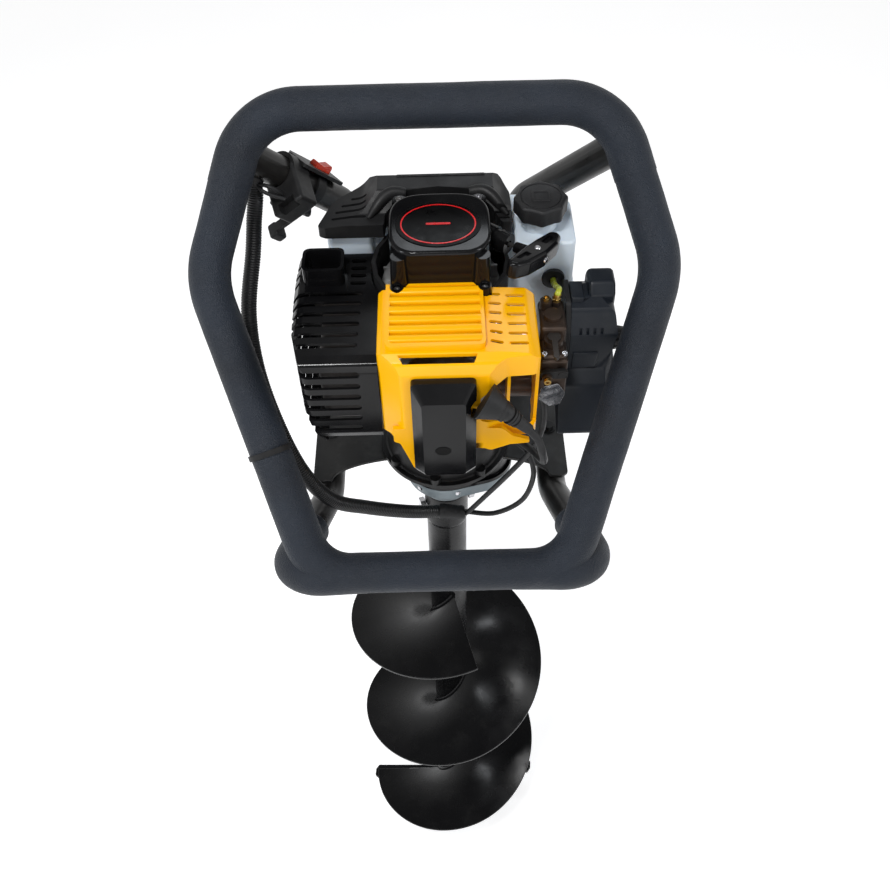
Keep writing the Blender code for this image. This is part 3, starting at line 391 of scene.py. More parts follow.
# ------------------------------------------------------------------ materials
def material(name, base, rough, metal=0.0, base2=None, mottle=8.0, grain=900.0, bump=0.15, dist=0.2, rough_var=0.08,
             coat=0.0, coat_rough=0.1, sheen=0.0, spec=0.5, sss=0.0, trans=0.0, ior=1.45, dust_and_sheen=0.0, cells=0.0, scratches=0.0,
             stretch=None, dust_and_sheen_col=(0.30, 0.29, 0.27)):
    m = bpy.data.materials.new(name)
    m.use_nodes = True
    nt = m.node_tree
    N, Lk = nt.nodes, nt.links
    b = N["Principled BSDF"]
    b.inputs["Metallic"].default_value = metal
    b.inputs["Coat Weight"].default_value = coat
    b.inputs["Coat Roughness"].default_value = coat_rough
    b.inputs["Sheen Weight"].default_value = sheen
    b.inputs["Specular IOR Level"].default_value = spec
    b.inputs["IOR"].default_value = ior
    if sss > 0:
        b.inputs["Subsurface Weight"].default_value = sss
        b.inputs["Subsurface Radius"].default_value = (0.008, 0.007, 0.006)
        b.inputs["Subsurface Scale"].default_value = 1.0
    b.inputs["Transmission Weight"].default_value = trans
    tc = N.new("ShaderNodeTexCoord")
    vec = tc.outputs["Object"]
    if stretch:
        mp = N.new("ShaderNodeMapping")
        mp.inputs["Scale"].default_value = stretch
        Lk.new(vec, mp.inputs["Vector"])
        svec = mp.outputs["Vector"]
    else:
        svec = vec

    def noise_tex(scale, detail=3.0, v=vec, rgh=0.55):
        t = N.new("ShaderNodeTexNoise")
        t.inputs["Scale"].default_value = scale
        t.inputs["Detail"].default_value = detail
        t.inputs["Roughness"].default_value = rgh
        Lk.new(v, t.inputs["Vector"])
        return t.outputs["Fac"]

    def ramp(fac, lo, hi):
        r = N.new("ShaderNodeMapRange")
        r.inputs["From Min"].default_value = lo
        r.inputs["From Max"].default_value = hi
        r.clamp = True
        Lk.new(fac, r.inputs["Value"])
        return r

    big = noise_tex(mottle)
    fine = noise_tex(grain, 2.0, svec)
    mix = N.new("ShaderNodeMix")
    mix.data_type = 'RGBA'
    mix.inputs["A"].default_value = (*base, 1)
    mix.inputs["B"].default_value = (*(base2 or tuple(c * 0.72 for c in base)), 1)
    r = ramp(big, 0.35, 0.68)
    Lk.new(r.outputs["Result"], mix.inputs["Factor"])
    col = mix.outputs["Result"]
    # Random lighter patches mixed into the base colour: real dust on most materials; on the foam their bluish colour is
    # painted sheen.
    if dust_and_sheen > 0:
        dn = noise_tex(38.0, 6.0, vec, 0.7)
        dr = ramp(dn, 0.52, 0.80)
        dr.inputs["To Max"].default_value = dust_and_sheen
        m2 = N.new("ShaderNodeMix")
        m2.data_type = 'RGBA'
        Lk.new(dr.outputs["Result"], m2.inputs["Factor"])
        Lk.new(col, m2.inputs["A"])
        m2.inputs["B"].default_value = (*dust_and_sheen_col, 1)
        col = m2.outputs["Result"]
    if scratches > 0:
        w = N.new("ShaderNodeMapping")
        w.inputs["Scale"].default_value = (900.0, 30.0, 240.0)
        w.inputs["Rotation"].default_value = (0.4, 0.2, 0.6)
        Lk.new(vec, w.inputs["Vector"])
        sn = noise_tex(1.0, 3.0, w.outputs["Vector"], 0.6)
        sr = ramp(sn, 0.70, 0.78)
        sr.inputs["To Max"].default_value = scratches
        m3 = N.new("ShaderNodeMix")
        m3.data_type = 'RGBA'
        Lk.new(sr.outputs["Result"], m3.inputs["Factor"])
        Lk.new(col, m3.inputs["A"])
        m3.inputs["B"].default_value = (0.22, 0.22, 0.23, 1)
        col = m3.outputs["Result"]
    Lk.new(col, b.inputs["Base Color"])
    rr = ramp(noise_tex(mottle * 3.1, 4.0), 0.3, 0.7)
    rr.inputs["To Min"].default_value = max(0.02, rough - rough_var)
    rr.inputs["To Max"].default_value = min(1.0, rough + rough_var)
    Lk.new(rr.outputs["Result"], b.inputs["Roughness"])
    bp = N.new("ShaderNodeBump")
    bp.inputs["Strength"].default_value = bump
    bp.inputs["Distance"].default_value = dist * MM
    h = fine
    if cells > 0:
        vo = N.new("ShaderNodeTexVoronoi")
        vo.inputs["Scale"].default_value = cells
        Lk.new(vec, vo.inputs["Vector"])
        ad = N.new("ShaderNodeMath")
        ad.operation = 'ADD'
        Lk.new(fine, ad.inputs[0])
        Lk.new(vo.outputs["Distance"], ad.inputs[1])
        h = ad.outputs["Value"]
    Lk.new(h, bp.inputs["Height"])
    Lk.new(bp.outputs["Normal"], b.inputs["Normal"])
    return m


# Foam: the bluish lighter patches mixed in as dust are painted sheen, not dust.
FOAM = material("foam", (0.0100, 0.0150, 0.0245), 0.56, base2=(0.0070, 0.0100, 0.0160), mottle=14, grain=760, bump=0.75, dist=0.7, cells=900, sheen=0.03, spec=0.38, rough_var=0.06, dust_and_sheen=0.05, dust_and_sheen_col=(0.06, 0.075, 0.095))
PAINT = material("black_gloss_paint", (0.0025, 0.0025, 0.003), 0.26, base2=(0.004, 0.004, 0.0045), mottle=9, grain=420, bump=0.10, dist=0.25, spec=0.22, dust_and_sheen=0.02, scratches=0.10)
TUBEPAINT = material("tube_paint", (0.006, 0.006, 0.006), 0.34, base2=(0.012, 0.011, 0.010), mottle=20, grain=1500, bump=0.12, dist=0.1, dust_and_sheen=0.06, scratches=0.15)
PLATE = material("plate_paint", (0.007, 0.007, 0.0068), 0.5, base2=(0.013, 0.0125, 0.0118), mottle=16, grain=1300, bump=0.2, dist=0.15, dust_and_sheen=0.08, scratches=0.12)
MATTE = material("black_matte_plastic", (0.0085, 0.0085, 0.009), 0.48, base2=(0.012, 0.012, 0.0125), mottle=22, grain=1900, bump=0.30, dist=0.12, spec=0.3, dust_and_sheen=0.03)
TEXT = material("black_textured_plastic", (0.010, 0.010, 0.011), 0.55, base2=(0.015, 0.015, 0.016), mottle=26, grain=1200, bump=0.5, dist=0.2, cells=1100, spec=0.4, dust_and_sheen=0.04)
GLOSS = material("black_gloss_plastic", (0.003, 0.003, 0.0034), 0.17, base2=(0.007, 0.007, 0.0075), mottle=18, grain=2600, bump=0.04, dist=0.05, spec=0.26, dust_and_sheen=0.006, rough_var=0.04)
YELLOW = material("yellow_plastic", (0.93, 0.455, 0.0006), 0.22, base2=(0.90, 0.415, 0.0005), mottle=11, grain=1700, bump=0.06, dist=0.06, spec=0.32, rough_var=0.05)
TANK = material("white_tank", (0.60, 0.69, 0.78), 0.36, base2=(0.70, 0.77, 0.83), mottle=12, grain=900, bump=0.10, dist=0.2, sss=0.35, spec=0.4)
CAST = material("grey_cast_paint", (0.16, 0.20, 0.225), 0.40, base2=(0.22, 0.26, 0.28), mottle=26, grain=900, bump=0.5, dist=0.3, cells=600, dust_and_sheen=0.05)
ALU = material("cast_aluminium", (0.42, 0.42, 0.42), 0.45, metal=0.9, base2=(0.30, 0.30, 0.30), mottle=40, grain=1100, bump=0.5, dist=0.2)
CARB = material("carburettor_casting", (0.070, 0.048, 0.036), 0.40, metal=0.6, base2=(0.036, 0.026, 0.021), mottle=60, grain=1500, bump=0.45, dist=0.2)
BRIGHT = material("bright_steel", (0.62, 0.62, 0.64), 0.20, metal=1.0, base2=(0.45, 0.45, 0.47), mottle=60, grain=2000, bump=0.1, dist=0.05, rough_var=0.1)
STEEL = material("bare_steel", (0.40, 0.40, 0.42), 0.35, metal=1.0, base2=(0.28, 0.27, 0.26), mottle=50, grain=1800, bump=0.2, dist=0.1)
BRASS = material("brass", (0.62, 0.42, 0.13), 0.28, metal=1.0, base2=(0.45, 0.29, 0.09), mottle=80, grain=2000, bump=0.1, dist=0.05)
RUBBER = material("black_rubber", (0.0075, 0.0078, 0.0085), 0.52, base2=(0.012, 0.012, 0.013), mottle=30, grain=1500, bump=0.2, dist=0.1, spec=0.4, dust_and_sheen=0.04)
SLEEVE = material("corrugated_sleeve", (0.006, 0.0065, 0.007), 0.38, base2=(0.010, 0.010, 0.011), mottle=30, grain=1700, bump=0.15, dist=0.1)
RED = material("red_plastic", (0.74, 0.050, 0.012), 0.28, base2=(0.62, 0.035, 0.010), mottle=40, grain=2200, bump=0.05, dist=0.05, coat=0.2)
RINGRED = material("label_red", (0.62, 0.008, 0.010), 0.30, base2=(0.5, 0.006, 0.008), mottle=60, grain=2600, bump=0.03, dist=0.03)
LABEL = material("label_black", (0.0010, 0.0010, 0.0011), 0.32, base2=(0.0025, 0.0025, 0.0026), mottle=40, grain=3000, bump=0.03, dist=0.03, spec=0.12)
HOSE = material("yellow_green_hose", (0.44, 0.47, 0.045), 0.25, base2=(0.30, 0.36, 0.03), mottle=60, grain=1800, bump=0.05, dist=0.05, sss=0.2)
ROPE = material("rope", (0.018, 0.018, 0.018), 0.85, base2=(0.035, 0.035, 0.035), mottle=200, grain=2500, bump=0.8, dist=0.4, stretch=(1, 1, 2.5))
FILTER = material("filter_foam", (0.05, 0.05, 0.055), 0.95, mottle=60, grain=1200, bump=0.9, dist=0.8, cells=700)
TAN = material("tan_wire", (0.45, 0.24, 0.10), 0.4, mottle=50, grain=1500, bump=0.1, dist=0.05)
FILTCOV = material("blue_black_plastic", (0.0068, 0.0094, 0.0140), 0.42, base2=(0.0095, 0.0125, 0.0180), mottle=18, grain=1300, bump=0.3, dist=0.15, spec=0.35, dust_and_sheen=0.03)
HOTSTEEL = material("heat_stained_steel", (0.055, 0.050, 0.047), 0.5, metal=0.6, base2=(0.03, 0.026, 0.024), mottle=30, grain=900, bump=0.3, dist=0.2)

# hidden and partly hidden CAD pieces keep their shape and take a material
for node, m in {"output_gear": STEEL, "lay_gear": STEEL, "clutch_drum": STEEL, "output_bearing": BRIGHT, "clutch_shoes": STEEL,
                "crankshaft_lower": STEEL, "crankshaft_upper": STEEL, "connecting_rod": STEEL, "piston": ALU, "crankcase": ALU,
                "cylinder": ALU, "spark_plug": BRIGHT, "flywheel_fan": ALU, "fan_case": MATTE, "starter_pulley": MATTE,
                "throttle_arm": BRASS, "primer_bulb": RUBBER, "air_filter_element": FILTER,
                "tank_bracket": TUBEPAINT, "drive_bolt": BRIGHT, "ht_lead": RUBBER}.items():
    ms = NODES[node].data.materials
    ms.clear()
    ms.append(m)

# ------------------------------------------------------------------ drill bit
def helix_blade():
    n, nr = 300, 6
    r0, r1, z0, pitch, turns, th = 21.6, 125.0, 48.0, 255.0, 2.29, 4.0
    bm = bmesh.new()
    top, bot = [], []
    for i in range(n + 1):
        a = math.pi + 2 * math.pi * turns * i / n
        z = z0 + pitch * turns * i / n
        rt, rb = [], []
        for k in range(nr + 1):
            r = r0 + (r1 - r0) * k / nr
            sag = 0.9 * noise.noise(Vector((math.cos(a) * r / 60, math.sin(a) * r / 60, z / 90)))
            x, y = r * math.cos(a), r * math.sin(a)
            rt.append(bm.verts.new((x * MM, y * MM, (z + th / 2 + sag) * MM)))
            rb.append(bm.verts.new((x * MM, y * MM, (z - th / 2 + sag) * MM)))
        top.append(rt)
        bot.append(rb)
    for i in range(n):
        for k in range(nr):
            bm.faces.new((top[i][k], top[i][k + 1], top[i + 1][k + 1], top[i + 1][k]))
            bm.faces.new((bot[i][k], bot[i + 1][k], bot[i + 1][k + 1], bot[i][k + 1]))
        bm.faces.new((top[i][nr], bot[i][nr], bot[i + 1][nr], top[i + 1][nr]))
        bm.faces.new((top[i][0], top[i + 1][0], bot[i + 1][0], bot[i][0]))
    for i in (0, n):
        for k in range(nr):
            bm.faces.new((top[i][k], top[i][k + 1], bot[i][k + 1], bot[i][k]))
    bmesh.ops.recalc_face_normals(bm, faces=bm.faces)
    return from_bm(bm)


finish(helix_blade(), "flight_blade", "bit", PAINT, ("auger_flight",), bevel=0.9, seg=3, angle=60)
# weld bead along the pipe, above and below the blade
for s, nm in ((1, "upper"), (-1, "lower")):
    pts = []
    for i in range(420):
        t = 2.29 * i / 419
        a = math.pi + 2 * math.pi * t
        pts.append(Vector((22.6 * math.cos(a), 22.6 * math.sin(a), 48 + 255 * t + s * 3.0)))
    finish(sweep(pts, lambda l, tot, a: 2.3 + 0.35 * math.sin(l * 1.3) + 0.2 * noise.noise(Vector((l * 0.3, 0, s))), seg=8), "flight_weld_" + nm, "bit", PAINT, bevel=0)

pipe = lathe([(23.6, 822.5), (23.0, 824), (10.6, 824), (10.6, 746), (18, 742), (18, 70), (6.0, 66), (6.0, 60), (18.5, 60), (22, 64),
              (22, 772.5), (22.6, 773.2), (23.1, 775.0), (23.6, 777.0), (23.6, 779)], 96)
pipe = cut(pipe, cyl((-40, -13, 801), (40, 13, 801), 5.3, seg=32))
finish(pipe, "centre_pipe", "bit", PAINT, ("auger_pipe",), bevel=0.4)


def cutter(sign):
    pts = [(sign * 21.9, sign * -6), (sign * 124, sign * -9), (sign * 129, sign * -2), (sign * 130, sign * 8), (sign * 124, sign * 13), (sign * 21.9, sign * 10)]
    ob = outline(round2d(pts, [0, 2, 3, 3, 2, 0]), 38.5, 44.5)
    return cut(ob, cyl((sign * 60, sign * 2, 30), (sign * 60, sign * 2, 41), 5), cyl((sign * 100, sign * 2, 30), (sign * 100, sign * 2, 41), 5))


finish(cutter(-1), "left_cutter", "bit", PAINT, ("cutter_blade_left",), bevel=0.9, seg=3)
finish(cutter(1), "right_cutter", "bit", PAINT, ("cutter_blade_right",), bevel=0.9, seg=3)
pil = union(lathe([(5.6, 90), (5.6, 59.6), (21.0, 59.6), (21.5, 57), (21.5, 24), (12.0, 18), (9.0, 12), (0.0, 12), (0.0, 90)], 72),
            outline([(-16, 24), (-16, 13), (0, 0), (16, 13), (16, 24)], -3, 3, axis='Y'))
finish(pil, "pilot_tip", "bit", STEEL, ("pilot_point",), bevel=0.5)

# ------------------------------------------------------------------ gearbox
ox = 33.0


def stadium(c0, r0, c1, r1, n=40):
    dx, dy = c1[0] - c0[0], c1[1] - c0[1]
    d = math.hypot(dx, dy)
    base = math.atan2(dy, dx)
    a = math.acos((r0 - r1) / d)
    pts = [(c1[0] + r1 * math.cos(base - a + 2 * a * k / n), c1[1] + r1 * math.sin(base - a + 2 * a * k / n)) for k in range(n + 1)]
    b = 2 * math.pi - 2 * a
    return pts + [(c0[0] + r0 * math.cos(base + a + b * k / n), c0[1] + r0 * math.sin(base + a + b * k / n)) for k in range(n + 1)]


low = union(lathe([(39.6, 869.5), (39.0, 862), (37.5, 856), (31.5, 844), (28.0, 837), (26.6, 834.5), (26, 832), (26, 829), (25, 828), (10.8, 828), (10.8, 869.5)], 96),
            outline(stadium((0, 0), 40.5, (ox, 0), 32.5), 852, 870),
            outline(stadium((0, 0), 44, (ox, 0), 36), 866.5, 870))
for a in (70, 125, 180, 235, 290):
    low = union(low, turn(outline([(24, 832), (38, 856), (38, 866), (30, 866), (20, 834)], -1.5, 1.5, axis='Y'), a, 'Z', (0, 0, 0)))
low = cut(low, cyl((0, 0, 852), (0, 0, 880), 31), cyl((ox, 0, 852.6), (ox, 0, 881), 27.5), cyl((0, 0, 838.2), (0, 0, 878), 21.8))
finish(low, "gearbox_bowl", "machine", CAST, ("gearbox_lower",), bevel=0.8, seg=3)
up = union(outline(stadium((0, 0), 41, (ox, 0), 33), 870.4, 895.6), outline(stadium((0, 0), 44, (ox, 0), 36), 870.4, 875))
up = cut(up, outline(stadium((0, 0), 32, (ox, 0), 29.6), 860, 888.2), cyl((0, 0, 880), (0, 0, 900), 13.4), cyl((ox, 0, 880), (ox, 0, 891.6), 5.4))
finish(up, "gearbox_lid", "machine", PAINT, ("gearbox_upper",), bevel=1.0, seg=3)


def cap_screw(p, d, r, h, name, body="machine", mat=BRIGHT, hexed=True):
    """Socket-head screw standing on p along d."""
    d = Vector(d).normalized()
    p = Vector(p)
    s = cyl(p, p + d * h, r, seg=32)
    if hexed:
        s = cut(s, cyl(p + d * h * 0.45, p + d * (h + 1), r * 0.5, seg=6))
    finish(s, name, body, mat, bevel=r * 0.14, seg=2)


for i, (x, y) in enumerate([(-27, -30), (12, -38), (46, -27), (-40, 8), (-10, 40), (46, 27)]):
    cap_screw((x * 0.93, y * 0.93, 861.5), (0, 0, -1), 4.2, 5, "gearbox_screw_%d" % i)

# ------------------------------------------------------------------ frame and foam
FX = -5.0
LF, LR = (-189.5, 949.0), (84.0, 1226.0)
SL = Vector((0, LR[0] - LF[0], LR[1] - LF[1])).normalized()
LEN = math.hypot(LR[0] - LF[0], LR[1] - LF[1])
HF, HW, HR, VW = 108.6, 191.5, 150.0, 253.0


def on_loop(u, v):
    return Vector((FX + u, LF[0], LF[1])) + SL * v


loop = arc_path([on_loop(-HF, 0), on_loop(-HW, VW), on_loop(-HR, LEN), on_loop(HR, LEN), on_loop(HW, VW), on_loop(HF, 0)],
                [42, 75, 56, 56, 75, 42], seg=16, closed=True)


def leg(s):
    return arc_path([(FX + s * 111, 24, 880.5), (FX + s * 111, -52, 880.5), (FX + s * 137, -190, 945), (FX + s * 60, LF[0], LF[1])], [0, 45, 30, 0], seg=12)


def stay(s):
    return arc_path([on_loop(s * 160, LEN - 33), (FX + s * 81, 122, 1101), (FX + s * 76, 118, 901.2)], [0, 40, 0], seg=14)


tubes = sweep(loop, 14.0, seg=28, closed=True)
tubes = union(tubes, *[sweep(leg(s), 13.97, seg=28) for s in (-1, 1)], *[sweep(stay(s), 13.98, seg=28) for s in (-1, 1)])
finish(tubes, "welded_frame", "machine", TUBEPAINT, ("frame_tube",), bevel=0, weighted=False)

SEAM = 326.0


def seam(sign, v):
    t = (v - VW) / (LEN - VW)
    return on_loop(sign * (HW + (HR - HW) * t), v)


def vof(p):
    return (p - on_loop(0, 0)).dot(SL)


def sleeve_r(r, end):
    def f(l, tot, a):
        e = min(l, tot - l)
        q = r
        if e < end:
            q = r - end * 0.55 + end * 0.55 * math.sqrt(max(0, 1 - (1 - e / end) ** 2))
        return q + 0.22 * noise.noise(Vector((l / 37.0, math.cos(a), math.sin(a))))
    return f


rear_run = [seam(-1, SEAM)] + [p for p in loop if vof(p) > SEAM + 8] + [seam(1, SEAM)]
# the loop's points run front left, up the left side, along the rear bar and down the right side
path, _ = resample(rear_run, 3.2)
rear = sweep(path, sleeve_r(17.95, 3.0), seg=40)
rear = cut(rear, *[sweep([on_loop(s * 160, LEN - 33), on_loop(s * 160, LEN - 33) + (Vector((FX + s * 81, 122, 1101)) - on_loop(s * 160, LEN - 33)) * 0.5], 14.6, seg=24) for s in (-1, 1)])
rough_up(rear, 0.10, 22, 1)
finish(rear, "rear_foam_sleeve", "machine", FOAM, ("foam_grip_rear",), bevel=0, weighted=False)

lefts = [p for p in loop if p.x < FX and vof(p) < SEAM - 6][::-1]
lefts.sort(key=lambda p: (-vof(p) + p.x * 0.3))
rights = [Vector((2 * FX - p.x, p.y, p.z)) for p in lefts][::-1]
front_run = [seam(-1, SEAM + 6.0)] + lefts + rights + [seam(1, SEAM + 6.0)]
path, _ = resample(front_run, 3.2)
front = sweep(path, sleeve_r(17.55, 2.0), seg=40)


def leg_foam(s):
    pts = leg(s)
    k = next(i for i, p in enumerate(pts) if p.y < -110)
    a, b = pts[k - 1], pts[k]
    run = [a + (b - a) * ((-112 - a.y) / (b.y - a.y))] + pts[k:]
    return resample(run, 3.2)[0]


front = union(front, *[sweep(leg_foam(s), sleeve_r(17.5, 3.0), seg=40) for s in (-1, 1)])
front = cut(front, *[sweep(leg(s)[:14], 14.4, seg=24) for s in (-1, 1)])
rough_up(front, 0.10, 22, 2)
finish(front, "front_foam_sleeve", "machine", FOAM, ("foam_grip_front",), bevel=0, weighted=False)

# cable tie round the left side
td = (on_loop(-HW, VW) - on_loop(-HF, 0)).normalized()
tcn = on_loop(-HF, 0) + td * 112
tn = Vector((0, -SL.z, SL.y))
tb = td.cross(tn).normalized()
tie = cut(cyl((-2.4, 0, 0), (2.4, 0, 0), 19.2, seg=72), cyl((-5, 0, 0), (5, 0, 0), 17.3, seg=72))
tie = union(tie, box(-3.2, -4, 19.2, 3.2, 4, 24, bevel=0.5), box(-2.2, 4, 20.5, 2.2, 11, 21.8))
tie = axes(tie, tcn, td, tb, td.cross(tb).normalized())
finish(tie, "cable_tie_strap", "machine", MATTE, ("cable_tie",), bevel=0.3)

# mount plate: arched front edge, bolts into the legs
arch = [(FX + 126, -46), (FX + 120, -51), (FX + 108, -50)]
for d in range(12, 88, 6):
    a = math.radians(d)
    arch.append((FX + 108 * math.cos(a) ** 0.9, -50 + 30 * math.sin(a)))
mir = [(2 * FX - x, y) for x, y in arch][::-1]
pl = round2d([(FX + 100, 142), (FX + 126, 60)] + arch + mir + [(FX - 126, 60), (FX - 100, 142)], 4)
plate = outline(pl, 896, 900)
plate = cut(plate, cyl((0, 0, 890), (0, 0, 905), 26))
for s in (-1, 1):
    plate = cut(plate, slot_cut(FX + s * 88 - 9, FX + s * 88 + 9, 70, 890, 905, 9))
finish(plate, "deck_plate", "machine", PLATE, ("mount_plate",), bevel=0.8, seg=3)
for i, (x, y) in enumerate([(-111, 12), (111, 12), (-40, 52), (40, 52)]):
    h = cyl((FX + x, y, 900.1), (FX + x, y, 905.5), 6.0, seg=6)
    h = union(h, cyl((FX + x, y, 899.9), (FX + x, y, 901.3), 8.0, seg=40))
    finish(h, "deck_bolt_%d" % i, "machine", MATTE, bevel=0.5)

# ------------------------------------------------------------------ clutch housing
bell = lathe([(46, 968), (55, 961), (58, 955), (58, 906.5), (59.5, 905), (64, 905), (64, 900.4), (54, 900.4), (54, 952), (44, 962), (24, 962), (24, 968)], 96)
for a in (35, 80, 125, 215, 260, 305):
    bell = union(bell, turn(cyl((59.0, 0, 900.8), (59.0, 0, 912), 5.2, seg=24), a, 'Z', (0, 0, 0)))
finish(bell, "clutch_bell", "machine", MATTE, ("clutch_housing",), bevel=0.9, seg=3)

# ------------------------------------------------------------------ starter
RC = (0.0, -2.0)
oct_pts = []
for k in range(72):
    a = 2 * math.pi * k / 72
    q = (abs(math.cos(a)) ** 3.4 + abs(math.sin(a)) ** 3.4) ** (-1 / 3.4)
    oct_pts.append((RC[0] + 41.5 * q * math.cos(a), max(-40.3, RC[1] + 41.5 * q * math.sin(a) * 0.96)))
st = outline(oct_pts, 1133.6, 1174, bevel=0)
bm = bmesh.new()
bm.from_mesh(st.data)
topedges = [e for e in bm.edges if all(v.co.z > 1.1739 for v in e.verts)]
bmesh.ops.bevel(bm, geom=topedges, offset=3.2 * MM, segments=5, affect='EDGES', profile=0.55)
bm.to_mesh(st.data)
bm.free()
lug_xy = []
for lx, ly in ((-33.5, -36.6), (33.5, -36.6), (33.0, 36.0), (-33.0, 36.0)):
    lug_xy.append((lx, ly))
    st = union(st, cyl((lx, ly, 1133.8), (lx, ly, 1168.5), 7.6, 6.2, seg=40))
for lx, ly in ((-35.5, -44.5), (35.5, -44.5)):
    st = union(st, cyl((lx, ly, 1136.4), (lx, ly, 1143.5), 5.2, seg=32), box(lx - 5, ly, 1136.4, lx + 5, ly + 10, 1143.0, bevel=1))
    st = cut(st, cyl((lx, ly, 1140.5), (lx, ly, 1146), 3.4, seg=24))
G0, G1 = Vector((34, 12.5, 1152)), Vector((57, -4.75, 1152))
RD = (G1 - G0).normalized()
st = union(st, cyl(G0 - RD * 2, G0 + RD * 15, 11.0, 10.4, seg=48), cyl(G0 + RD * 14, G0 + RD * 21, 8.6, 8.2, seg=48), cyl(G0 + RD * 20, G1, 9.3, 8.6, seg=48))
st = cut(st, box(-25.5, -50, 1138, 25.5, -39.75, 1170.5, bevel=0.4), cyl(G0 - RD * 14, G1 + RD * 4, 3.2, seg=24),
         cyl((RC[0], RC[1], 1130), (RC[0], RC[1], 1164.5), 37.4))
finish(st, "recoil_cover", "machine", GLOSS, ("starter_housing",), bevel=1.0, seg=3)
for i, (lx, ly) in enumerate(lug_xy):
    if i > 1:
        cap_screw((lx, ly, 1168.2), (0, 0, 1), 3.4, 2.0, "starter_screw_%d" % i, mat=STEEL)
for i, lx in enumerate((-35.5, 35.5)):
    cap_screw((lx, -44.5, 1140.4), (0, 0, 1), 2.7, 1.6, "starter_foot_screw_%d" % i, mat=STEEL)
# plain oval plate with a thin ring, no lettering
ell = lambda a, b, n=96: [(RC[0] - 1 + a * math.cos(2 * math.pi * k / n), -4.8 + b * math.sin(2 * math.pi * k / n)) for k in range(n)]
finish(outline(ell(34.6, 28.6), 1173.8, 1174.7), "oval_plate", "machine", LABEL, bevel=0.2)
ring = cut(outline(ell(30.6, 25.4), 1174.5, 1174.95), outline(ell(29.5, 24.3), 1174, 1176))
finish(ring, "oval_ring", "machine", RINGRED, bevel=0)
bar = outline(round2d([(-11, -6.0), (9, -6.0), (9, -3.6), (-11, -3.6)], 1.3), 1174.5, 1174.95)
finish(bar, "oval_bar", "machine", RINGRED, bevel=0)

# rope and T handle
H0 = G1 + RD * 21.0
path, _ = resample([G0 - RD * 18.5, G1, H0 + RD * 5.5], 0.8)
rope = sweep(path, lambda l, tot, a: 1.65 + 0.14 * math.cos(3 * a + l * 1.5), seg=18)
finish(rope, "pull_rope", None, ROPE, ("starter_rope",), bevel=0, weighted=False)
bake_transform(rope)
side = Vector((RD.y, -RD.x, 0))
hp = round2d([(-37, 1.0), (-33, -4.5), (-12, -6.0), (12, -6.0), (33, -4.5), (37, 1.0), (34, 6.5), (22, 11.0), (0, 13.0), (-22, 11.0), (-34, 6.5)], 6)
hb = outline(hp, -7.4, 7.4, bevel=3.2, seg=5)
hb = cut(hb, outline(round2d([(-27, -1.0), (-11, -0.2), (-11, 5.2), (-24, 4.6)], 1.5), 5.4, 9), outline(round2d([(27, -1.0), (11, -0.2), (11, 5.2), (24, 4.6)], 1.5), 5.4, 9))
tilt = Matrix.Rotation(math.radians(12), 3, RD)
hx, hz = tilt @ side, tilt @ Vector((0, 0, 1))
if (-hx).z > 0:
    tilt = Matrix.Rotation(math.radians(-12), 3, RD)
    hx, hz = tilt @ side, tilt @ Vector((0, 0, 1))
hc = H0 + RD * 1.5
place(hb, Matrix(((hx.x, RD.x, hz.x, hc.x * MM), (hx.y, RD.y, hz.y, hc.y * MM), (hx.z, RD.z, hz.z, hc.z * MM), (0, 0, 0, 1))))
hb = union(hb, cyl(H0 - RD * 15, H0 - RD * 2, 4.4, 5.4, seg=40))
finish(hb, "pull_grip", "pull_handle", GLOSS, ("starter_handle",), bevel=0.5)
rv = Vector((H0.x, H0.y, H0.z)) + RD * 14.2
finish(cyl(rv - RD * 1.4, rv + RD * 1.2, 3.6, 2.4, seg=32), "grip_rivet", "pull_handle", BRIGHT, bevel=0.4)
rv2 = H0 + hz * 7.0 + RD * 5.0
finish(cyl(rv2, rv2 + hz * 1.7, 3.2, 2.0, seg=32), "grip_eyelet", "pull_handle", BRIGHT, bevel=0.4)

# ------------------------------------------------------------------ cylinder shroud


def both(a, b):
    return boolean(a, (b,), 'INTERSECT')


side_pts = round2d([(-39.6, 1137), (-112, 1137), (-121, 1132), (-125, 1122), (-125, 1034), (-39.6, 1034)], [0, 5, 7, 8, 0, 0], 7)
top_pts = round2d([(-50.5, 1034), (-51.5, 1132.5), (-47.5, 1136.4), (40, 1136.6), (68, 1135.5), (76.4, 1128), (76.4, 1034)], [0, 4, 1.5, 3, 8, 8, 0], 6)
plan = round2d([(-51.5, -39.6), (-51.5, -110), (-33, -125), (35, -125), (50, -117.5), (76.4, -116), (76.4, -39.6)], [0, 7, 7, 9, 12, 9, 0], 7)
sh = both(both(outline(side_pts, -60, 90, axis='X'), outline(top_pts, -130, -30, axis='Y')), outline(plan, 1020, 1145))
s_in = round2d([(-20, 1134.2), (-111, 1134.2), (-119, 1130), (-122.4, 1121), (-122.4, 1000), (-20, 1000)], [0, 5, 7, 8, 0, 0], 7)
t_in = round2d([(-48.2, 1000), (-48.8, 1130.5), (-45, 1133.8), (40, 1134), (66.5, 1133), (73.8, 1126.5), (73.8, 1000)], [0, 4, 1.5, 3, 8, 8, 0], 6)
p_in = round2d([(-48.8, -20), (-48.8, -109), (-32, -122.5), (34, -122.5), (49, -115), (73.8, -113.4), (73.8, -20)], [0, 7, 7, 9, 12, 8, 0], 7)
sh = cut(sh, both(both(outline(s_in, -49, 75, axis='X'), outline(t_in, -124, -18, axis='Y')), outline(p_in, 990, 1140)))
